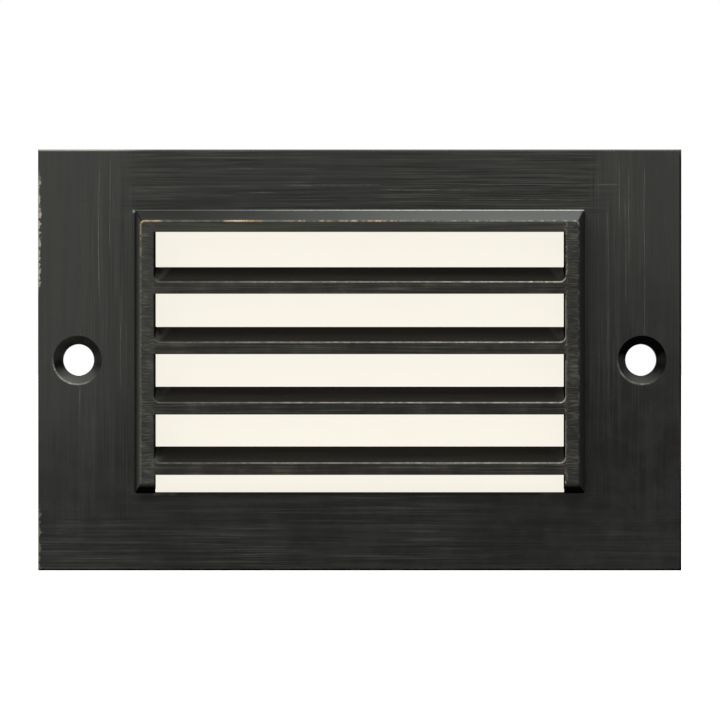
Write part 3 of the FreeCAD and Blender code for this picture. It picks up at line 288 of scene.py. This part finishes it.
# the patina is lighter towards the top left corner in a painted light gradient, with random
# patches rubbed thinner, and it is left thick in every recess
rubbed_and_lit = (z * 0.0165 - x * 0.0045 + (bronze.noise((38, 42, 38), 2, 9.0) - 0.5) * 0.5).step(-0.55, 0.8)
bar_mark, face_mark = bar_grain + blotch, fine + blotch
patina = bronze.layered(
    srgb(9, 9, 9),
    (rubbed_and_lit, srgb(40, 41, 38)),
    (upright * rubbed_and_lit.step(0, 0.6) * 0.42, srgb(56, 58, 54)),
    (blotch.step(0.35, 0.7) * 0.28, srgb(46, 48, 45)),
    (broad.step(0.38, 0.72) * grain * 0.23, srgb(58, 59, 51)),
    (broad.step(0.5, 0.3) * grain * (0.26 - upright * 0.12), srgb(8, 8, 8)),
    (side_bars * left_side * 0.2, srgb(56, 58, 55)),
    (side_bars * bar_mark.step(1.04, 1.3) * 0.55, srgb(92, 93, 86)),
    (side_bars * bar_mark.step(0.96, 0.75) * 0.4, srgb(10, 10, 9)),
    (fine.step(0.49, 0.68) * grain * (0.10 - upright * 0.04 + brushed * 0.36), srgb(79, 81, 74)),
    (fine.step(0.52, 0.32) * grain * (0.22 - upright * 0.1 + brushed * 0.42), srgb(5, 5, 5)),
    (on_hood * 0.16, srgb(52, 47, 34)),
    (slat_faces * (0.2 + face_mark.step(1.05, 0.8) * 0.4), srgb(8, 8, 6)),
    (slat_faces * face_mark.step(1.05, 1.3) * 0.36, srgb(82, 81, 69)),
    (scratches * (0.12 + rubbed_and_lit * 0.38), srgb(124, 124, 110)))
thick = bronze.mix(bronze.noise((5, 5, 5), 2, 10.0), srgb(10, 10, 10), srgb(19, 19, 18))
# painted shadow on the plate under each foot of the hood
foot_shadow = from_middle.near(36.6, 3.4) * z.near(hood_end - 0.6, 1.6) * open_face * off_hood

# the hood's slopes: a painted highlight on the top, growing towards its right end; painted light
# on the left side, growing away from the foot, and painted shade keeping the right side dark
slopes = y.step(plate_front, plate_front - 0.1) * (1 - open_face)
top_slope = slopes * bronze.face_z.step(0.85, 0.93)
top_slope = top_slope * z.step(hood_top - 0.9, hood_top - 0.6) * z.step(foot_top + 0.4, foot_top + 0.2)
ragged = (bronze.noise((7, 9, 9), 2, 18.0) - 0.5) * 12
slope_highlight = bronze.mix((x + ragged).step(-34, 24), srgb(36, 37, 34), srgb(86, 89, 85))
side_slopes = slopes * abs(bronze.face_x).step(0.6, 0.75)
side_slopes = side_slopes * from_middle.step(hood_side - 0.1, hood_side)
side_slopes = side_slopes * from_middle.step(foot_side + 0.2, foot_side)
left_slope_light = y.step(plate_front - 1.2, plate_front - 5.6) * (1 - right_side * 0.95)
side_slope_light_and_shade = bronze.mix(left_slope_light, srgb(12, 12, 11), srgb(62, 64, 60))

# the countersinks: painted shade in their upper parts and painted light in their lower parts,
# with a painted highlight on the lower left of the rim
from_hole = diagonal(from_middle - hole_place, z)
cone = from_hole.step(hole_radius + 0.02, hole_radius + 0.1)
cone = cone * from_hole.step(sink_radius + 0.08, sink_radius - 0.02)
below = z * -1 / from_hole.at_least(1) + left_side * 0.12
below = below + (bronze.noise((1.2, 1.2, 1.2), 2, 22.0) - 0.5) * 0.3
cone_light_and_shade = bronze.mix(below.step(0.35, 0.95) * (1 - right_side * 0.55), srgb(7, 7, 7), srgb(76, 78, 73))
sideways = x - (right_side * 2 - 1) * hole_place
lower_left = (z * -0.85 - sideways * 0.5) / from_hole.at_least(1)
sink_rim_highlight = from_hole.near(sink_radius + 0.02, 0.24) * lower_left.step(0.25, 0.9) * (1 - right_side * 0.5)
sink_rim_highlight = sink_rim_highlight * (0.35 + bronze.noise((0.9, 9, 0.9), 3, 23.0, 0.7).step(0.35, 0.6) * 0.65)

patina = bronze.layered(
    bronze.mix(open_face, thick, patina),
    (foot_shadow * (0.3 + blotch.step(0.35, 0.6) * 0.55), srgb(3, 3, 3)),
    (top_slope, slope_highlight),
    (side_slopes, side_slope_light_and_shade),
    (cone, cone_light_and_shade))

# the slats' lips, pale with a painted highlight and bare in spots where a cloth reaches first, and
# the slots' right sides, worn bare; the four slots are folded onto one, whose lip lies `fold` above its
# start
fold = 3
in_fold = (z - (top_lip - fold)).folded(slat_pitch)
past_side = (from_middle - (slot_half - slot_corner)).at_least(0)
past_lip = (fold + slot_corner - in_fold).at_least(0)
off_slot = diagonal(past_side, past_lip) - slot_corner
beads = bronze.noise((1.1, 9, 9), 2, 11.0, 0.7)
lip_highlight_and_wear = off_slot.near(0.04, 0.22) * on_hood * z.step(top_lip + 1, top_lip + 0.4) * x.step(-34.9, -34.2)
lip_highlight_and_wear = lip_highlight_and_wear * (0.32 + x.step(-32, -8) * 0.5 + x.step(0, 24) * 0.18)
lip_highlight_and_wear = lip_highlight_and_wear * (0.5 + beads.step(0.35, 0.75) * 0.5)
gold_lip = lip_highlight_and_wear * x.near(30.5, 4.5) * z.near(top_lip, 1.0) * beads.step(0.5, 0.6)
side_wear = x.near(slot_half + 0.15, 0.42) * on_hood * (0.35 + z.near(17.8, 6.0) * 0.65)
side_wear = side_wear * bronze.noise((0.5, 9, 0.7), 3, 12.0, 0.8).step(0.46, 0.66)

# the rim of the hood's front: pale lines of painted highlight, and gold dashes worn to bare brass
past_corner_x = (from_middle - (hood_side - hood_corner)).at_least(0)
past_corner_z = (z - (hood_top - hood_corner)).at_least(0)
rim = (diagonal(past_corner_x, past_corner_z) - hood_corner).near(-0.06, 0.27) * on_hood
top_rim = rim * z.step(hood_top - 1.0, hood_top - 0.5)
dashes = bronze.noise((1.5, 9, 9), 3, 13.0, 0.75)
specks = bronze.noise((0.5, 0.5, 0.5), 3, 24.0, 0.7).step(0.45, 0.65)
top_gold = top_rim * most(
    x.near(-20.0, 4.8) * dashes.step(0.34, 0.5),
    x.near(-35.0, 3.6) * dashes.step(0.35, 0.6) * 0.75,
    x.step(-13, -9) * x.step(9, 3) * dashes.step(0.45, 0.68) * 0.55)
left_gold = rim * x.step(-35.5, -36) * z.step(16.5, 19.5)
left_gold = left_gold * bronze.noise((9, 9, 0.8), 3, 14.0, 0.7).step(0.35, 0.6)
rim_highlight = most(
    top_rim * (0.10 + dashes.step(0.4, 0.7) * 0.2 + specks * x.step(0, 8) * 0.3),
    rim * x.step(-35, -36) * (0.10 + specks * 0.3),
    rim * x.step(36, 36.5) * bronze.noise((9, 9, 0.8), 3, 15.0).step(0.5, 0.72) * 0.18)

# a painted highlight along the foot of the hood's top slope, and at its left corner
foot_highlight = z.near(foot_top + 0.05, 0.24) * y.near(plate_front - 0.1, 0.45)
foot_highlight = foot_highlight * from_middle.step(foot_side - 0.1, foot_side - 0.6) * (0.15 + x.step(-34, 14) * 0.85)
foot_highlight = most(foot_highlight, x.near(-foot_side, 0.35) * z.near(foot_top - 0.1, 0.4) * 0.5)


def from_edge(inset):
    """The distance from an edge of the plate's front, given the distance along the front."""
    return diagonal(inset, y - plate_front)


# the plate's edges: chipped with a painted highlight at the left, a painted highlight above, and
# painted shade below and at the right, where there is also some brown
chips = bronze.noise((0.9, 0.9, 0.8), 3, 16.0, 0.75)
left_edge_chips_and_highlight = (from_edge(x + plate_half) - (chips - 0.46) * 2).step(0.36, 0.14)
left_edge_chips_and_highlight = left_edge_chips_and_highlight * most(z.step(11, 14) * z.step(33, 29), z.step(-24, -27) * 0.35)
brown_edge = from_edge(x - plate_half).step(0.45, 0.1) * most(z.near(-15, 10) * 0.7, z.step(34.5, 35.8))
top_edge_highlight = from_edge(z - plate_top).step(0.4, 0.1) * (0.15 + x.step(-34, -44) * 0.6)
right_edge_shade = from_edge(x - plate_half).step(0.45, 0.25) * (1 - brown_edge)
bottom_edge_shade = from_edge(z + plate_top).step(0.45, 0.25) * (1 - left_edge_chips_and_highlight)
edge_shade = most(right_edge_shade, bottom_edge_shade)

# pale wear mixed with painted highlights on lips, hood rim, top edge, countersink rims and left edge
pale_wear_and_highlight = most(lip_highlight_and_wear * 0.85, rim_highlight, top_edge_highlight, sink_rim_highlight * 0.9, side_wear * 0.5, left_edge_chips_and_highlight * 0.75)
gold_wear = most(top_gold, left_gold * 0.8, gold_lip, side_wear * 0.25, left_edge_chips_and_highlight * 0.14)
bare_tone = bronze.noise((2.3, 2.3, 2.3), 2, 17.0).step(0.3, 0.7)
bare_brass = bronze.mix(bare_tone, srgb(160, 143, 116), srgb(196, 156, 98))
bronze.set("Base Color", bronze.layered(
    patina,
    (pale_wear_and_highlight, srgb(152, 151, 142)),
    (foot_highlight, srgb(196, 197, 190)),
    (gold_wear, bare_brass),
    (brown_edge * (0.3 + specks * 0.4), srgb(112, 64, 42))))
bronze.set("Metallic", 0.25 + gold_wear * 0.4 + pale_wear_and_highlight * 0.3)
bronze.set("Roughness", 0.5 + fine * 0.16 - pale_wear_and_highlight * 0.15)
bronze.bump(fine + scratches * 0.5, 0.03, 0.6)

# dull soot inside the slots, where no brush reaches, and painted shade on the slots' side walls,
# under the hood, high in the countersinks and on the plate's lower and right edges
slot_height = z.step(hood_end - 0.1, hood_end + 0.1) * z.step(slot_top + 1.1, slot_top + 0.3)
in_slot = 1 - most(from_middle.step(slot_half + 0.04, slot_half + 0.1),
                   y.step(hood_front + 0.25, hood_front + 0.05))
behind_slot = y.step(hood_front + 2.8, hood_front + 3.1) * from_middle.step(slot_half + 0.8, slot_half + 0.6)
inside = most(in_slot, behind_slot) * slot_height
under_hood = slopes * bronze.face_z.step(-0.5, -0.7) * z.step(hood_end + 2.3, hood_end + 2.2)
under_hood_shade = bronze.mix(y.step(hood_front, hood_front + 2.5), srgb(44, 45, 42), srgb(5, 5, 5))
upper_cone_shade = cone * below.step(0.3, -0.4)
slot_wall_shade = inside * abs(bronze.face_x).step(0.8, 0.95)

# painted light, pale at the ends of each slat and wider towards the back, and crumbs of dirt anywhere
from_end_light = slot_half - 0.6 - from_middle - (y - hood_front) * 0.38
slat_end_light = from_end_light.step(0.7, -0.5) * (0.2 + blotch.step(0.4, 0.65) * 0.8) * (1 - right_side * 0.6)
crumbs = bronze.noise((1.6, 2, 2), 3, 19.0, 0.7).step(0.68, 0.74)
soot_and_shade = bronze.layered(
    bronze.mix(broad, srgb(30, 29, 27), srgb(44, 43, 39)),
    (slat_end_light * 0.9, srgb(76, 75, 71)),
    (crumbs * 0.3, srgb(90, 84, 72)),
    (most(slot_wall_shade, edge_shade, upper_cone_shade * (0.62 + right_side * 0.38)), srgb(6, 6, 6)),
    (under_hood, under_hood_shade))
soot_and_shade_shader = bronze.second_shader(most(inside, under_hood, upper_cone_shade, edge_shade), roughness=0.95, specular=0.0)
bronze.feed(soot_and_shade_shader.inputs["Base Color"], soot_and_shade)
dress(bronze, "faceplate")


# ---- lens ----
# A moulded sheet of frosted plastic that covers the opening from behind. Its glow is painted
# in as emission, standing for the lamp behind it, so it shows cream between the slats.

opal = Finish("opal_lens", Roughness=0.45, Specular_IOR_Level=0.3, Emission_Strength=0.93)
cloud = opal.noise((16, 16, 16), 3, 2.0)
opal.set("Base Color", opal.mix(cloud, srgb(84, 82, 76), srgb(90, 88, 82)))
opal.set("Emission Color", opal.mix(cloud, srgb(249, 244, 231), srgb(251, 247, 234)))
opal.bump(opal.noise((0.25, 0.25, 0.25), 2), 0.01, 0.3)
dress(opal, "lens")


# ---- lens gasket, retaining frame and its screws ----
# A black rubber ring lies between plate and lens. A thin zinc-plated steel frame clamps
# the lens, held by four small slotted screws in bosses on the back of the plate.

rubber = Finish("black_rubber", Specular_IOR_Level=0.4)
chalk = rubber.noise((4, 4, 4), 3, 1.0)
rubber.set("Base Color", rubber.mix(chalk.step(0.4, 0.8) * 0.6, srgb(24, 24, 25), srgb(47, 46, 44)))
rubber.set("Roughness", 0.62 + chalk * 0.22)
rubber.bump(rubber.noise((0.12, 0.12, 0.12), 3, 2.0), 0.012, 0.5)


def pick(piece):
    """Makes a piece the active one, and the only one that is selected."""
    bpy.ops.object.select_all(action="DESELECT")
    piece.select_set(True)
    bpy.context.view_layer.objects.active = piece


def settle(piece, name, node):
    """Names and smooths a new piece of rubber, which stands for a node of the CAD model."""
    piece.name = name
    piece.data.name = name
    piece.data.materials.clear()
    piece.data.materials.append(rubber.material)
    pick(piece)
    bpy.ops.object.shade_smooth_by_angle(angle=0.7)
    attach(piece, "root")
    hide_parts(node)


def squeezed_gasket(node):
    """A flat ring of the CAD model made again, with sides that bulge where it is squeezed."""
    bulge = 0.0004
    name = node + "_squeezed"
    piece = bpy.data.objects.new(name, nodes[node].data.copy())
    scene.collection.objects.link(piece)
    pick(piece)
    bpy.ops.object.mode_set(mode="EDIT")
    bpy.ops.mesh.select_all(action="SELECT")
    bpy.ops.mesh.remove_doubles(threshold=0.000002)
    bpy.ops.mesh.dissolve_limited(angle_limit=0.01)
    bpy.ops.mesh.select_mode(type="EDGE")
    bpy.ops.mesh.select_all(action="DESELECT")
    bpy.ops.mesh.edges_select_sharp(sharpness=1.3)
    bpy.ops.mesh.bevel(offset=bulge, segments=3, affect="EDGES", clamp_overlap=True)
    bpy.ops.object.mode_set(mode="OBJECT")
    settle(piece, name, node)


squeezed_gasket("lens_gasket")

zinc = Finish("zinc_plated_sheet", Metallic=1.0)
crystals = zinc.add("ShaderNodeTexVoronoi", dict(feature="F1"), {"Vector": zinc.place, "Scale": 0.55})
spangle = Value(zinc, crystals.outputs["Color"])
rolled = zinc.noise((18, 0.25, 0.25), 3, 1.0, 0.6)
zinc.set("Base Color", zinc.mix(spangle * 0.5 + rolled * 0.3, srgb(158, 160, 163), srgb(196, 197, 196)))
zinc.set("Roughness", 0.30 + rolled * 0.2)
zinc.bump(rolled, 0.01, 0.4)
dress(zinc, "lens_retainer")

steel = Finish("turned_steel", Metallic=1.0)
turned = steel.noise((0.18, 0.5, 0.18), 2, 1.0, 0.6)
oiled = steel.noise((3, 3, 3), 2, 2.0)
steel.set("Base Color", steel.mix(oiled.step(0.35, 0.7), srgb(150, 148, 143), srgb(186, 184, 180)))
steel.set("Roughness", 0.24 + turned * 0.22)
steel.bump(turned, 0.008, 0.4)
dress(steel, "retainer_screws")


# ---- housing, its gasket, screws and seals ----
# A cast aluminium box with a dark powder coat closes the back. It is drawn up on a rubber
# ring by four long screws from behind, each with a rubber ring under its head.

# sizes in millimetres, as in the CAD model
housing_half, housing_top, housing_back = 42.8, 31, 47.5

coat = Finish("dark_powder_coat", Specular_IOR_Level=0.45)
to_side, to_top = abs(coat.x) - housing_half, abs(coat.z) - housing_top
pebble = coat.noise((0.5, 0.5, 0.5), 3, 1.0, 0.6)
film = coat.noise((14, 14, 14), 3, 2.0)
cast = coat.noise((2.4, 2.4, 2.4), 3, 4.0, 0.6)
dust = coat.face_z.step(0.2, 0.9) * coat.noise((5, 5, 5), 3, 5.0, 0.65)
side_corner = to_side.step(-1.6, -0.4) * to_top.step(-1.8, -0.4)
back_edge = coat.y.step(housing_back - 0.5, housing_back - 0.1)
back_edge = back_edge * most(to_side.step(-1.2, -0.5), to_top.step(-1.2, -0.5))
edge_rub = most(side_corner, back_edge) * coat.noise((3.5, 3.5, 3.5), 4, 3.0, 0.75).step(0.5, 0.75)
handling = coat.noise((0.3, 9, 0.25), 2, 6.0).step(0.72, 0.76) * coat.noise((9, 9, 9), 2, 7.0).step(0.5, 0.7)
coat.set("Base Color", coat.layered(
    coat.mix(film, srgb(44, 42, 40), srgb(60, 58, 55)),
    (pebble.step(0.42, 0.72) * 0.35, srgb(84, 82, 78)),
    (cast.step(0.55, 0.3) * 0.4, srgb(30, 29, 27)),
    (dust * 0.35, srgb(112, 106, 96)),
    (handling * 0.4, srgb(120, 118, 112)),
    (edge_rub * 0.75, srgb(128, 126, 120))))
coat.set("Roughness", 0.44 + film * 0.14 + dust * 0.2 - edge_rub * 0.12)
coat.set("Metallic", edge_rub * 0.5)
coat.bump(pebble + cast * 0.8, 0.09, 0.7)
dress(coat, "housing")

dress(steel, "housing_screws")
squeezed_gasket("housing_gasket")


def turned_ring(centre, profile, sides=64):
    """A closed ring about an axis along Y, from circles of (radius, y), all in millimetres."""
    centre_x, centre_z = centre[0] / 1000, centre[1] / 1000
    radius, depth = profile[0]
    bpy.ops.object.select_all(action="DESELECT")
    bpy.ops.mesh.primitive_circle_add(vertices=sides, radius=radius / 1000, rotation=(math.pi / 2, 0, 0),
                                      location=(centre_x, depth / 1000, centre_z))
    bpy.ops.object.transform_apply(location=True, rotation=True, scale=True)
    bpy.ops.object.mode_set(mode="EDIT")
    for next_radius, next_depth in profile[1:]:
        move = (0, (next_depth - depth) / 1000, 0)
        bpy.ops.mesh.extrude_region_move(TRANSFORM_OT_translate={"value": move})
        grow = next_radius / radius
        middle = (centre_x, next_depth / 1000, centre_z)
        bpy.ops.transform.resize(value=(grow, 1, grow), center_override=middle)
        radius, depth = next_radius, next_depth
    bpy.ops.mesh.select_mode(type="EDGE")
    bpy.ops.mesh.select_all(action="DESELECT")
    bpy.ops.mesh.select_non_manifold()
    bpy.ops.mesh.bridge_edge_loops()
    bpy.ops.mesh.select_all(action="SELECT")
    bpy.ops.mesh.normals_make_consistent(inside=False)
    bpy.ops.object.mode_set(mode="OBJECT")
    return bpy.context.object


def squeezed_profile(inner, outer, front, back, rounding):
    """Circles of a flat ring with a bulged rim, whose rounding is given as (inset, depth) pairs."""
    face = [(inner, 0.12), (inner + 0.15, 0)] + [(outer - inset, depth) for inset, depth in rounding]
    front_half = [(radius, front + depth) for radius, depth in face]
    back_half = [(radius, back - depth) for radius, depth in reversed(face)]
    return front_half + [(outer, (front + back) / 2)] + back_half


screw_x, screw_z, screw_radius = 38.2, 26.39, 1.6
seal_radius, seal_thickness = 3.19, 0.8
seal_profile = squeezed_profile(
    screw_radius + 0.05, seal_radius, housing_back, housing_back + seal_thickness, ((0.27, 0), (0.07, 0.12)))
seals = [turned_ring((side * screw_x, end * screw_z), seal_profile, 48)
         for side in (-1, 1) for end in (-1, 1)]
for seal in seals:
    seal.select_set(True)
bpy.ops.object.join()
settle(bpy.context.object, "screw_seals_squeezed", "screw_seals")


# ---- reflector ----
# A tray pressed from thin sheet and stoved white, which throws the light forward. Two
# screws hold its ears to the sides of the housing.

stove = Finish("stoved_white", Specular_IOR_Level=0.5)
flow = stove.noise((1.1, 1.1, 1.1), 3, 1.0)
warm = stove.noise((12, 12, 12), 2, 2.0)
stove.set("Base Color", stove.mix(warm, srgb(226, 225, 219), srgb(238, 238, 235)))
stove.set("Roughness", 0.28 + flow * 0.16)
stove.bump(flow, 0.02, 0.4)
dress(stove, "reflector")
dress(steel, "reflector_screws")


# ---- lamp bracket, holder and contacts ----
# A zinc-plated strip stands on two bosses and carries a glazed ceramic holder, which
# two sunk screws fix. Two brass tubes in it grip the lamp's pins.

dress(zinc, "lamp_bracket")
dress(steel, "bracket_screws", "holder_screws")

glaze = Finish("glazed_ceramic", Specular_IOR_Level=0.55)
speck = glaze.noise((0.3, 0.3, 0.3), 2, 1.0, 0.7).step(0.68, 0.74)
body_tone = glaze.noise((6, 6, 6), 3, 2.0)
glaze.set("Base Color", glaze.layered(
    glaze.mix(body_tone, srgb(228, 221, 206), srgb(240, 235, 224)),
    (speck * 0.5, srgb(148, 132, 110))))
glaze.set("Roughness", 0.26 + body_tone * 0.18)
glaze.bump(body_tone, 0.03, 0.4)
dress(glaze, "lamp_holder")

brass = Finish("drawn_brass", Metallic=1.0)
drawn = brass.noise((7, 0.2, 0.2), 3, 1.0, 0.6)
tarnish = brass.noise((2.2, 2.2, 2.2), 3, 2.0)
brass.set("Base Color", brass.mix(tarnish.step(0.4, 0.75), srgb(206, 172, 98), srgb(158, 122, 66)))
brass.set("Roughness", 0.24 + drawn * 0.2 + tarnish * 0.1)
brass.bump(drawn, 0.008, 0.4)
dress(brass, "holder_contacts")


# ---- plug-in lamp ----
# A white circuit board carries two rings of light-emitting chips. It sits on a moulded
# foot, from which two nickel-plated pins go into the holder.

# radii of the two rings of chips and of the board, in millimetres
inner_chips, outer_chips, board_radius = 7.6, 13.2, 15

board = Finish("white_board", Specular_IOR_Level=0.5)
from_centre = diagonal(board.x, board.z)
copper = most(from_centre.near(inner_chips, 0.55), from_centre.near(outer_chips, 0.4))
copper = copper * board.face_y.step(-0.8, -0.95)
laminate = board.mix(board.noise((0.4, 1.5, 0.4), 2, 1.0), srgb(190, 178, 132), srgb(205, 194, 150))
board.set("Base Color", board.layered(
    srgb(232, 234, 230),
    (copper * 0.5, srgb(214, 219, 210)),
    (board.noise((0.5, 0.5, 0.5), 2, 2.0) * 0.25, srgb(220, 221, 214)),
    (from_centre.step(board_radius - 0.1, board_radius), laminate)))
board.set("Roughness", 0.34 + board.noise((2, 2, 2), 2, 3.0) * 0.2)
board.bump(copper, 0.03, 0.6)
dress(board, "lamp_board")

phosphor = Finish("phosphor_chips", Emission_Strength=0.6)
grit = phosphor.noise((0.15, 0.15, 0.15), 2, 1.0)
front = phosphor.face_y.step(-0.7, -0.9)
yellow = phosphor.mix(grit, srgb(236, 200, 84), srgb(244, 214, 110))
phosphor.set("Base Color", phosphor.mix(front, srgb(232, 230, 222), yellow))
phosphor.set("Emission Color", phosphor.mix(front, srgb(20, 18, 12), srgb(255, 226, 160)))
phosphor.set("Roughness", 0.4 + grit * 0.25)
phosphor.bump(grit, 0.01, 0.4)
dress(phosphor, "lamp_chips")

foot = Finish("white_nylon", Specular_IOR_Level=0.5)
mould = foot.noise((0.25, 0.25, 0.25), 2, 1.0)
foot.set("Base Color", foot.mix(foot.noise((5, 5, 5), 2, 2.0), srgb(224, 224, 220), srgb(236, 235, 231)))
foot.set("Roughness", 0.38 + mould * 0.18)
foot.bump(mould, 0.01, 0.4)
dress(foot, "lamp_base")

nickel = Finish("nickel_plate", Metallic=1.0)
polish = nickel.noise((0.2, 4, 0.2), 2, 1.0)
nickel.set("Base Color", nickel.mix(polish, srgb(186, 182, 172), srgb(208, 205, 197)))
nickel.set("Roughness", 0.16 + polish * 0.16)
nickel.bump(polish, 0.005, 0.3)
dress(nickel, "lamp_pins")


# ---- terminal block and leads ----
# A moulded two-way block on a pad in the housing: brass barrels, a clamp screw at each
# end of both, and one fixing screw. Red and black leads run from it to the holder.

block = Finish("natural_nylon", Specular_IOR_Level=0.5, Subsurface_Weight=0.15, Subsurface_Scale=0.002)
bloom = block.noise((3, 3, 3), 3, 1.0)
block.set("Base Color", block.mix(bloom, srgb(218, 212, 196), srgb(232, 228, 216)))
block.set("Roughness", 0.34 + bloom * 0.2)
block.bump(block.noise((0.3, 0.3, 0.3), 2, 2.0), 0.015, 0.4)
dress(block, "terminal_block")
dress(brass, "terminal_barrels")
dress(steel, "terminal_screws", "block_screw")


def insulation(name, dull, clean):
    """The silicone rubber sleeve of a lead, a little dusty."""
    sleeve = Finish(name, Specular_IOR_Level=0.5)
    dusty = sleeve.noise((2, 2, 2), 3, 1.0)
    sleeve.set("Base Color", sleeve.mix(dusty, dull, clean))
    sleeve.set("Roughness", 0.38 + dusty * 0.2)
    sleeve.bump(sleeve.noise((0.3, 0.3, 0.3), 2, 2.0), 0.008, 0.4)
    return sleeve


dress(insulation("red_insulation", srgb(138, 26, 22), srgb(172, 38, 30)), "lead_red")
dress(insulation("black_insulation", srgb(24, 24, 25), srgb(40, 40, 41)), "lead_black")


# ---- cable gland ----
# A black nylon gland goes through the back of the housing, with a washer outside and a
# locknut inside. Its domed nut squeezes a rubber sleeve on the cable.

nylon = Finish("black_nylon", Specular_IOR_Level=0.5)
skin = nylon.noise((0.35, 0.35, 0.35), 3, 1.0, 0.6)
cloudy = nylon.noise((7, 7, 7), 3, 2.0)
nylon.set("Base Color", nylon.mix(cloudy, srgb(27, 27, 28), srgb(41, 41, 42)))
nylon.set("Roughness", 0.40 + skin * 0.14 + cloudy * 0.08)
nylon.bump(skin, 0.025, 0.5)
dress(nylon, "gland_body", "gland_locknut", "gland_nut")

gland_x = -24
washer_hole, washer_radius, washer_thickness = 6.45, 8.59, 1.0
washer_profile = squeezed_profile(
    washer_hole, washer_radius, housing_back, housing_back + washer_thickness, ((0.39, 0), (0.11, 0.18)))
settle(turned_ring((gland_x, 0), washer_profile), "gland_washer_squeezed", "gland_washer")

# the sleeve has a rounded mouth and soft ribs inside
sleeve_front, sleeve_back, sleeve_radius = 56.5, 65.5, 4.69
sleeve_bore, rib_bore, ribs, rib_pitch = 3.5, 3.27, 5, 1.6
sleeve_profile = [
    (sleeve_bore, sleeve_front + 0.1), (3.7, sleeve_front), (4.5, sleeve_front),
    (sleeve_radius, sleeve_front + 0.3), (sleeve_radius, 63.4), (4.5, 64.7), (4.15, sleeve_back - 0.1),
    (3.75, sleeve_back), (3.4, sleeve_back - 0.2)]
for rib in range(ribs):
    rib_y = sleeve_back - 1 - rib * rib_pitch
    sleeve_profile += [(rib_bore, rib_y + 0.3), (rib_bore, rib_y), (sleeve_bore, rib_y - 0.35),
                       (sleeve_bore, rib_y - 0.85)]
settle(turned_ring((gland_x, 0), sleeve_profile), "gland_seal_ribbed", "gland_seal")


# ---- studio ----
# A pale floor below the light and a white backdrop. One soft lamp hangs above, one stands in
# front and one behind, and the camera looks squarely at the plate.

scene.view_settings.view_transform = "Standard"


def rays(owner, *names):
    """Values of the light path for the named kinds of ray, each 1 for a ray of that kind."""
    path = owner.add("ShaderNodeLightPath")
    return [Value(owner, path.outputs[name]) for name in names]


floor_height = -0.11
bpy.ops.object.select_all(action="DESELECT")
bpy.ops.mesh.primitive_plane_add(size=40, location=(0, 0, floor_height))
floor = bpy.context.object
floor.name = "floor"
bpy.ops.object.transform_apply(location=True)
pale = Finish("pale_floor", Roughness=0.9, Specular_IOR_Level=0.2, Emission_Strength=1.0)
sight = most(*rays(pale, "Is Camera Ray", "Is Glossy Ray"))
away = diagonal(pale.x, pale.y).step(150, 460)
pale.set("Base Color", srgb(226, 226, 224))
pale.set("Emission Color", pale.mix(sight * (0.2 + away * 0.8), (0, 0, 0), (1, 1, 1)))
floor.data.materials.append(pale.material)

scene.world = bpy.data.worlds.new("backdrop")
scene.world.use_nodes = True
backdrop = Nodes(scene.world.node_tree)
camera_ray, glossy_ray, clear_ray = rays(backdrop, "Is Camera Ray", "Is Glossy Ray", "Is Transmission Ray")
backwards = backdrop.split(backdrop.add("ShaderNodeTexCoord").outputs["Generated"])[1]
white = most(camera_ray, clear_ray, glossy_ray * backwards.step(-0.2, 0.5))
sky = backdrop.tree.nodes["Background"]
backdrop.feed(sky.inputs["Color"], (1, 1, 1))
backdrop.feed(sky.inputs["Strength"], 0.35 + white * 0.65)


def soft_lamp(name, place, size, power):
    """A rectangular lamp aimed at the middle of the plate."""
    lamp = bpy.data.lights.new(name, "AREA")
    lamp.shape = "RECTANGLE"
    lamp.size, lamp.size_y = size
    lamp.energy = power
    holder = bpy.data.objects.new(name, lamp)
    scene.collection.objects.link(holder)
    holder.location = place
    holder.rotation_euler = (-holder.location).to_track_quat("-Z", "Y").to_euler()


soft_lamp("overhead", (0.13, -0.10, 0.55), (0.35, 0.25), 3.7)
soft_lamp("front", (-0.42, -0.75, 0.35), (0.5, 0.4), 3.6)
soft_lamp("rear", (0.35, 0.7, 0.3), (0.5, 0.4), 3.5)

# places in metres; the lens frames the plate as the photograph does
camera_x, camera_distance = 0.00005, 0.483
camera = bpy.data.cameras.new("camera")
camera.lens = 140.44
camera.sensor_width = 36
camera.clip_start = 0.01
tripod = bpy.data.objects.new("camera", camera)
scene.collection.objects.link(tripod)
tripod.location = (camera_x, -camera_distance, 0)
tripod.rotation_euler = (math.radians(90), 0, 0)
scene.camera = tripod
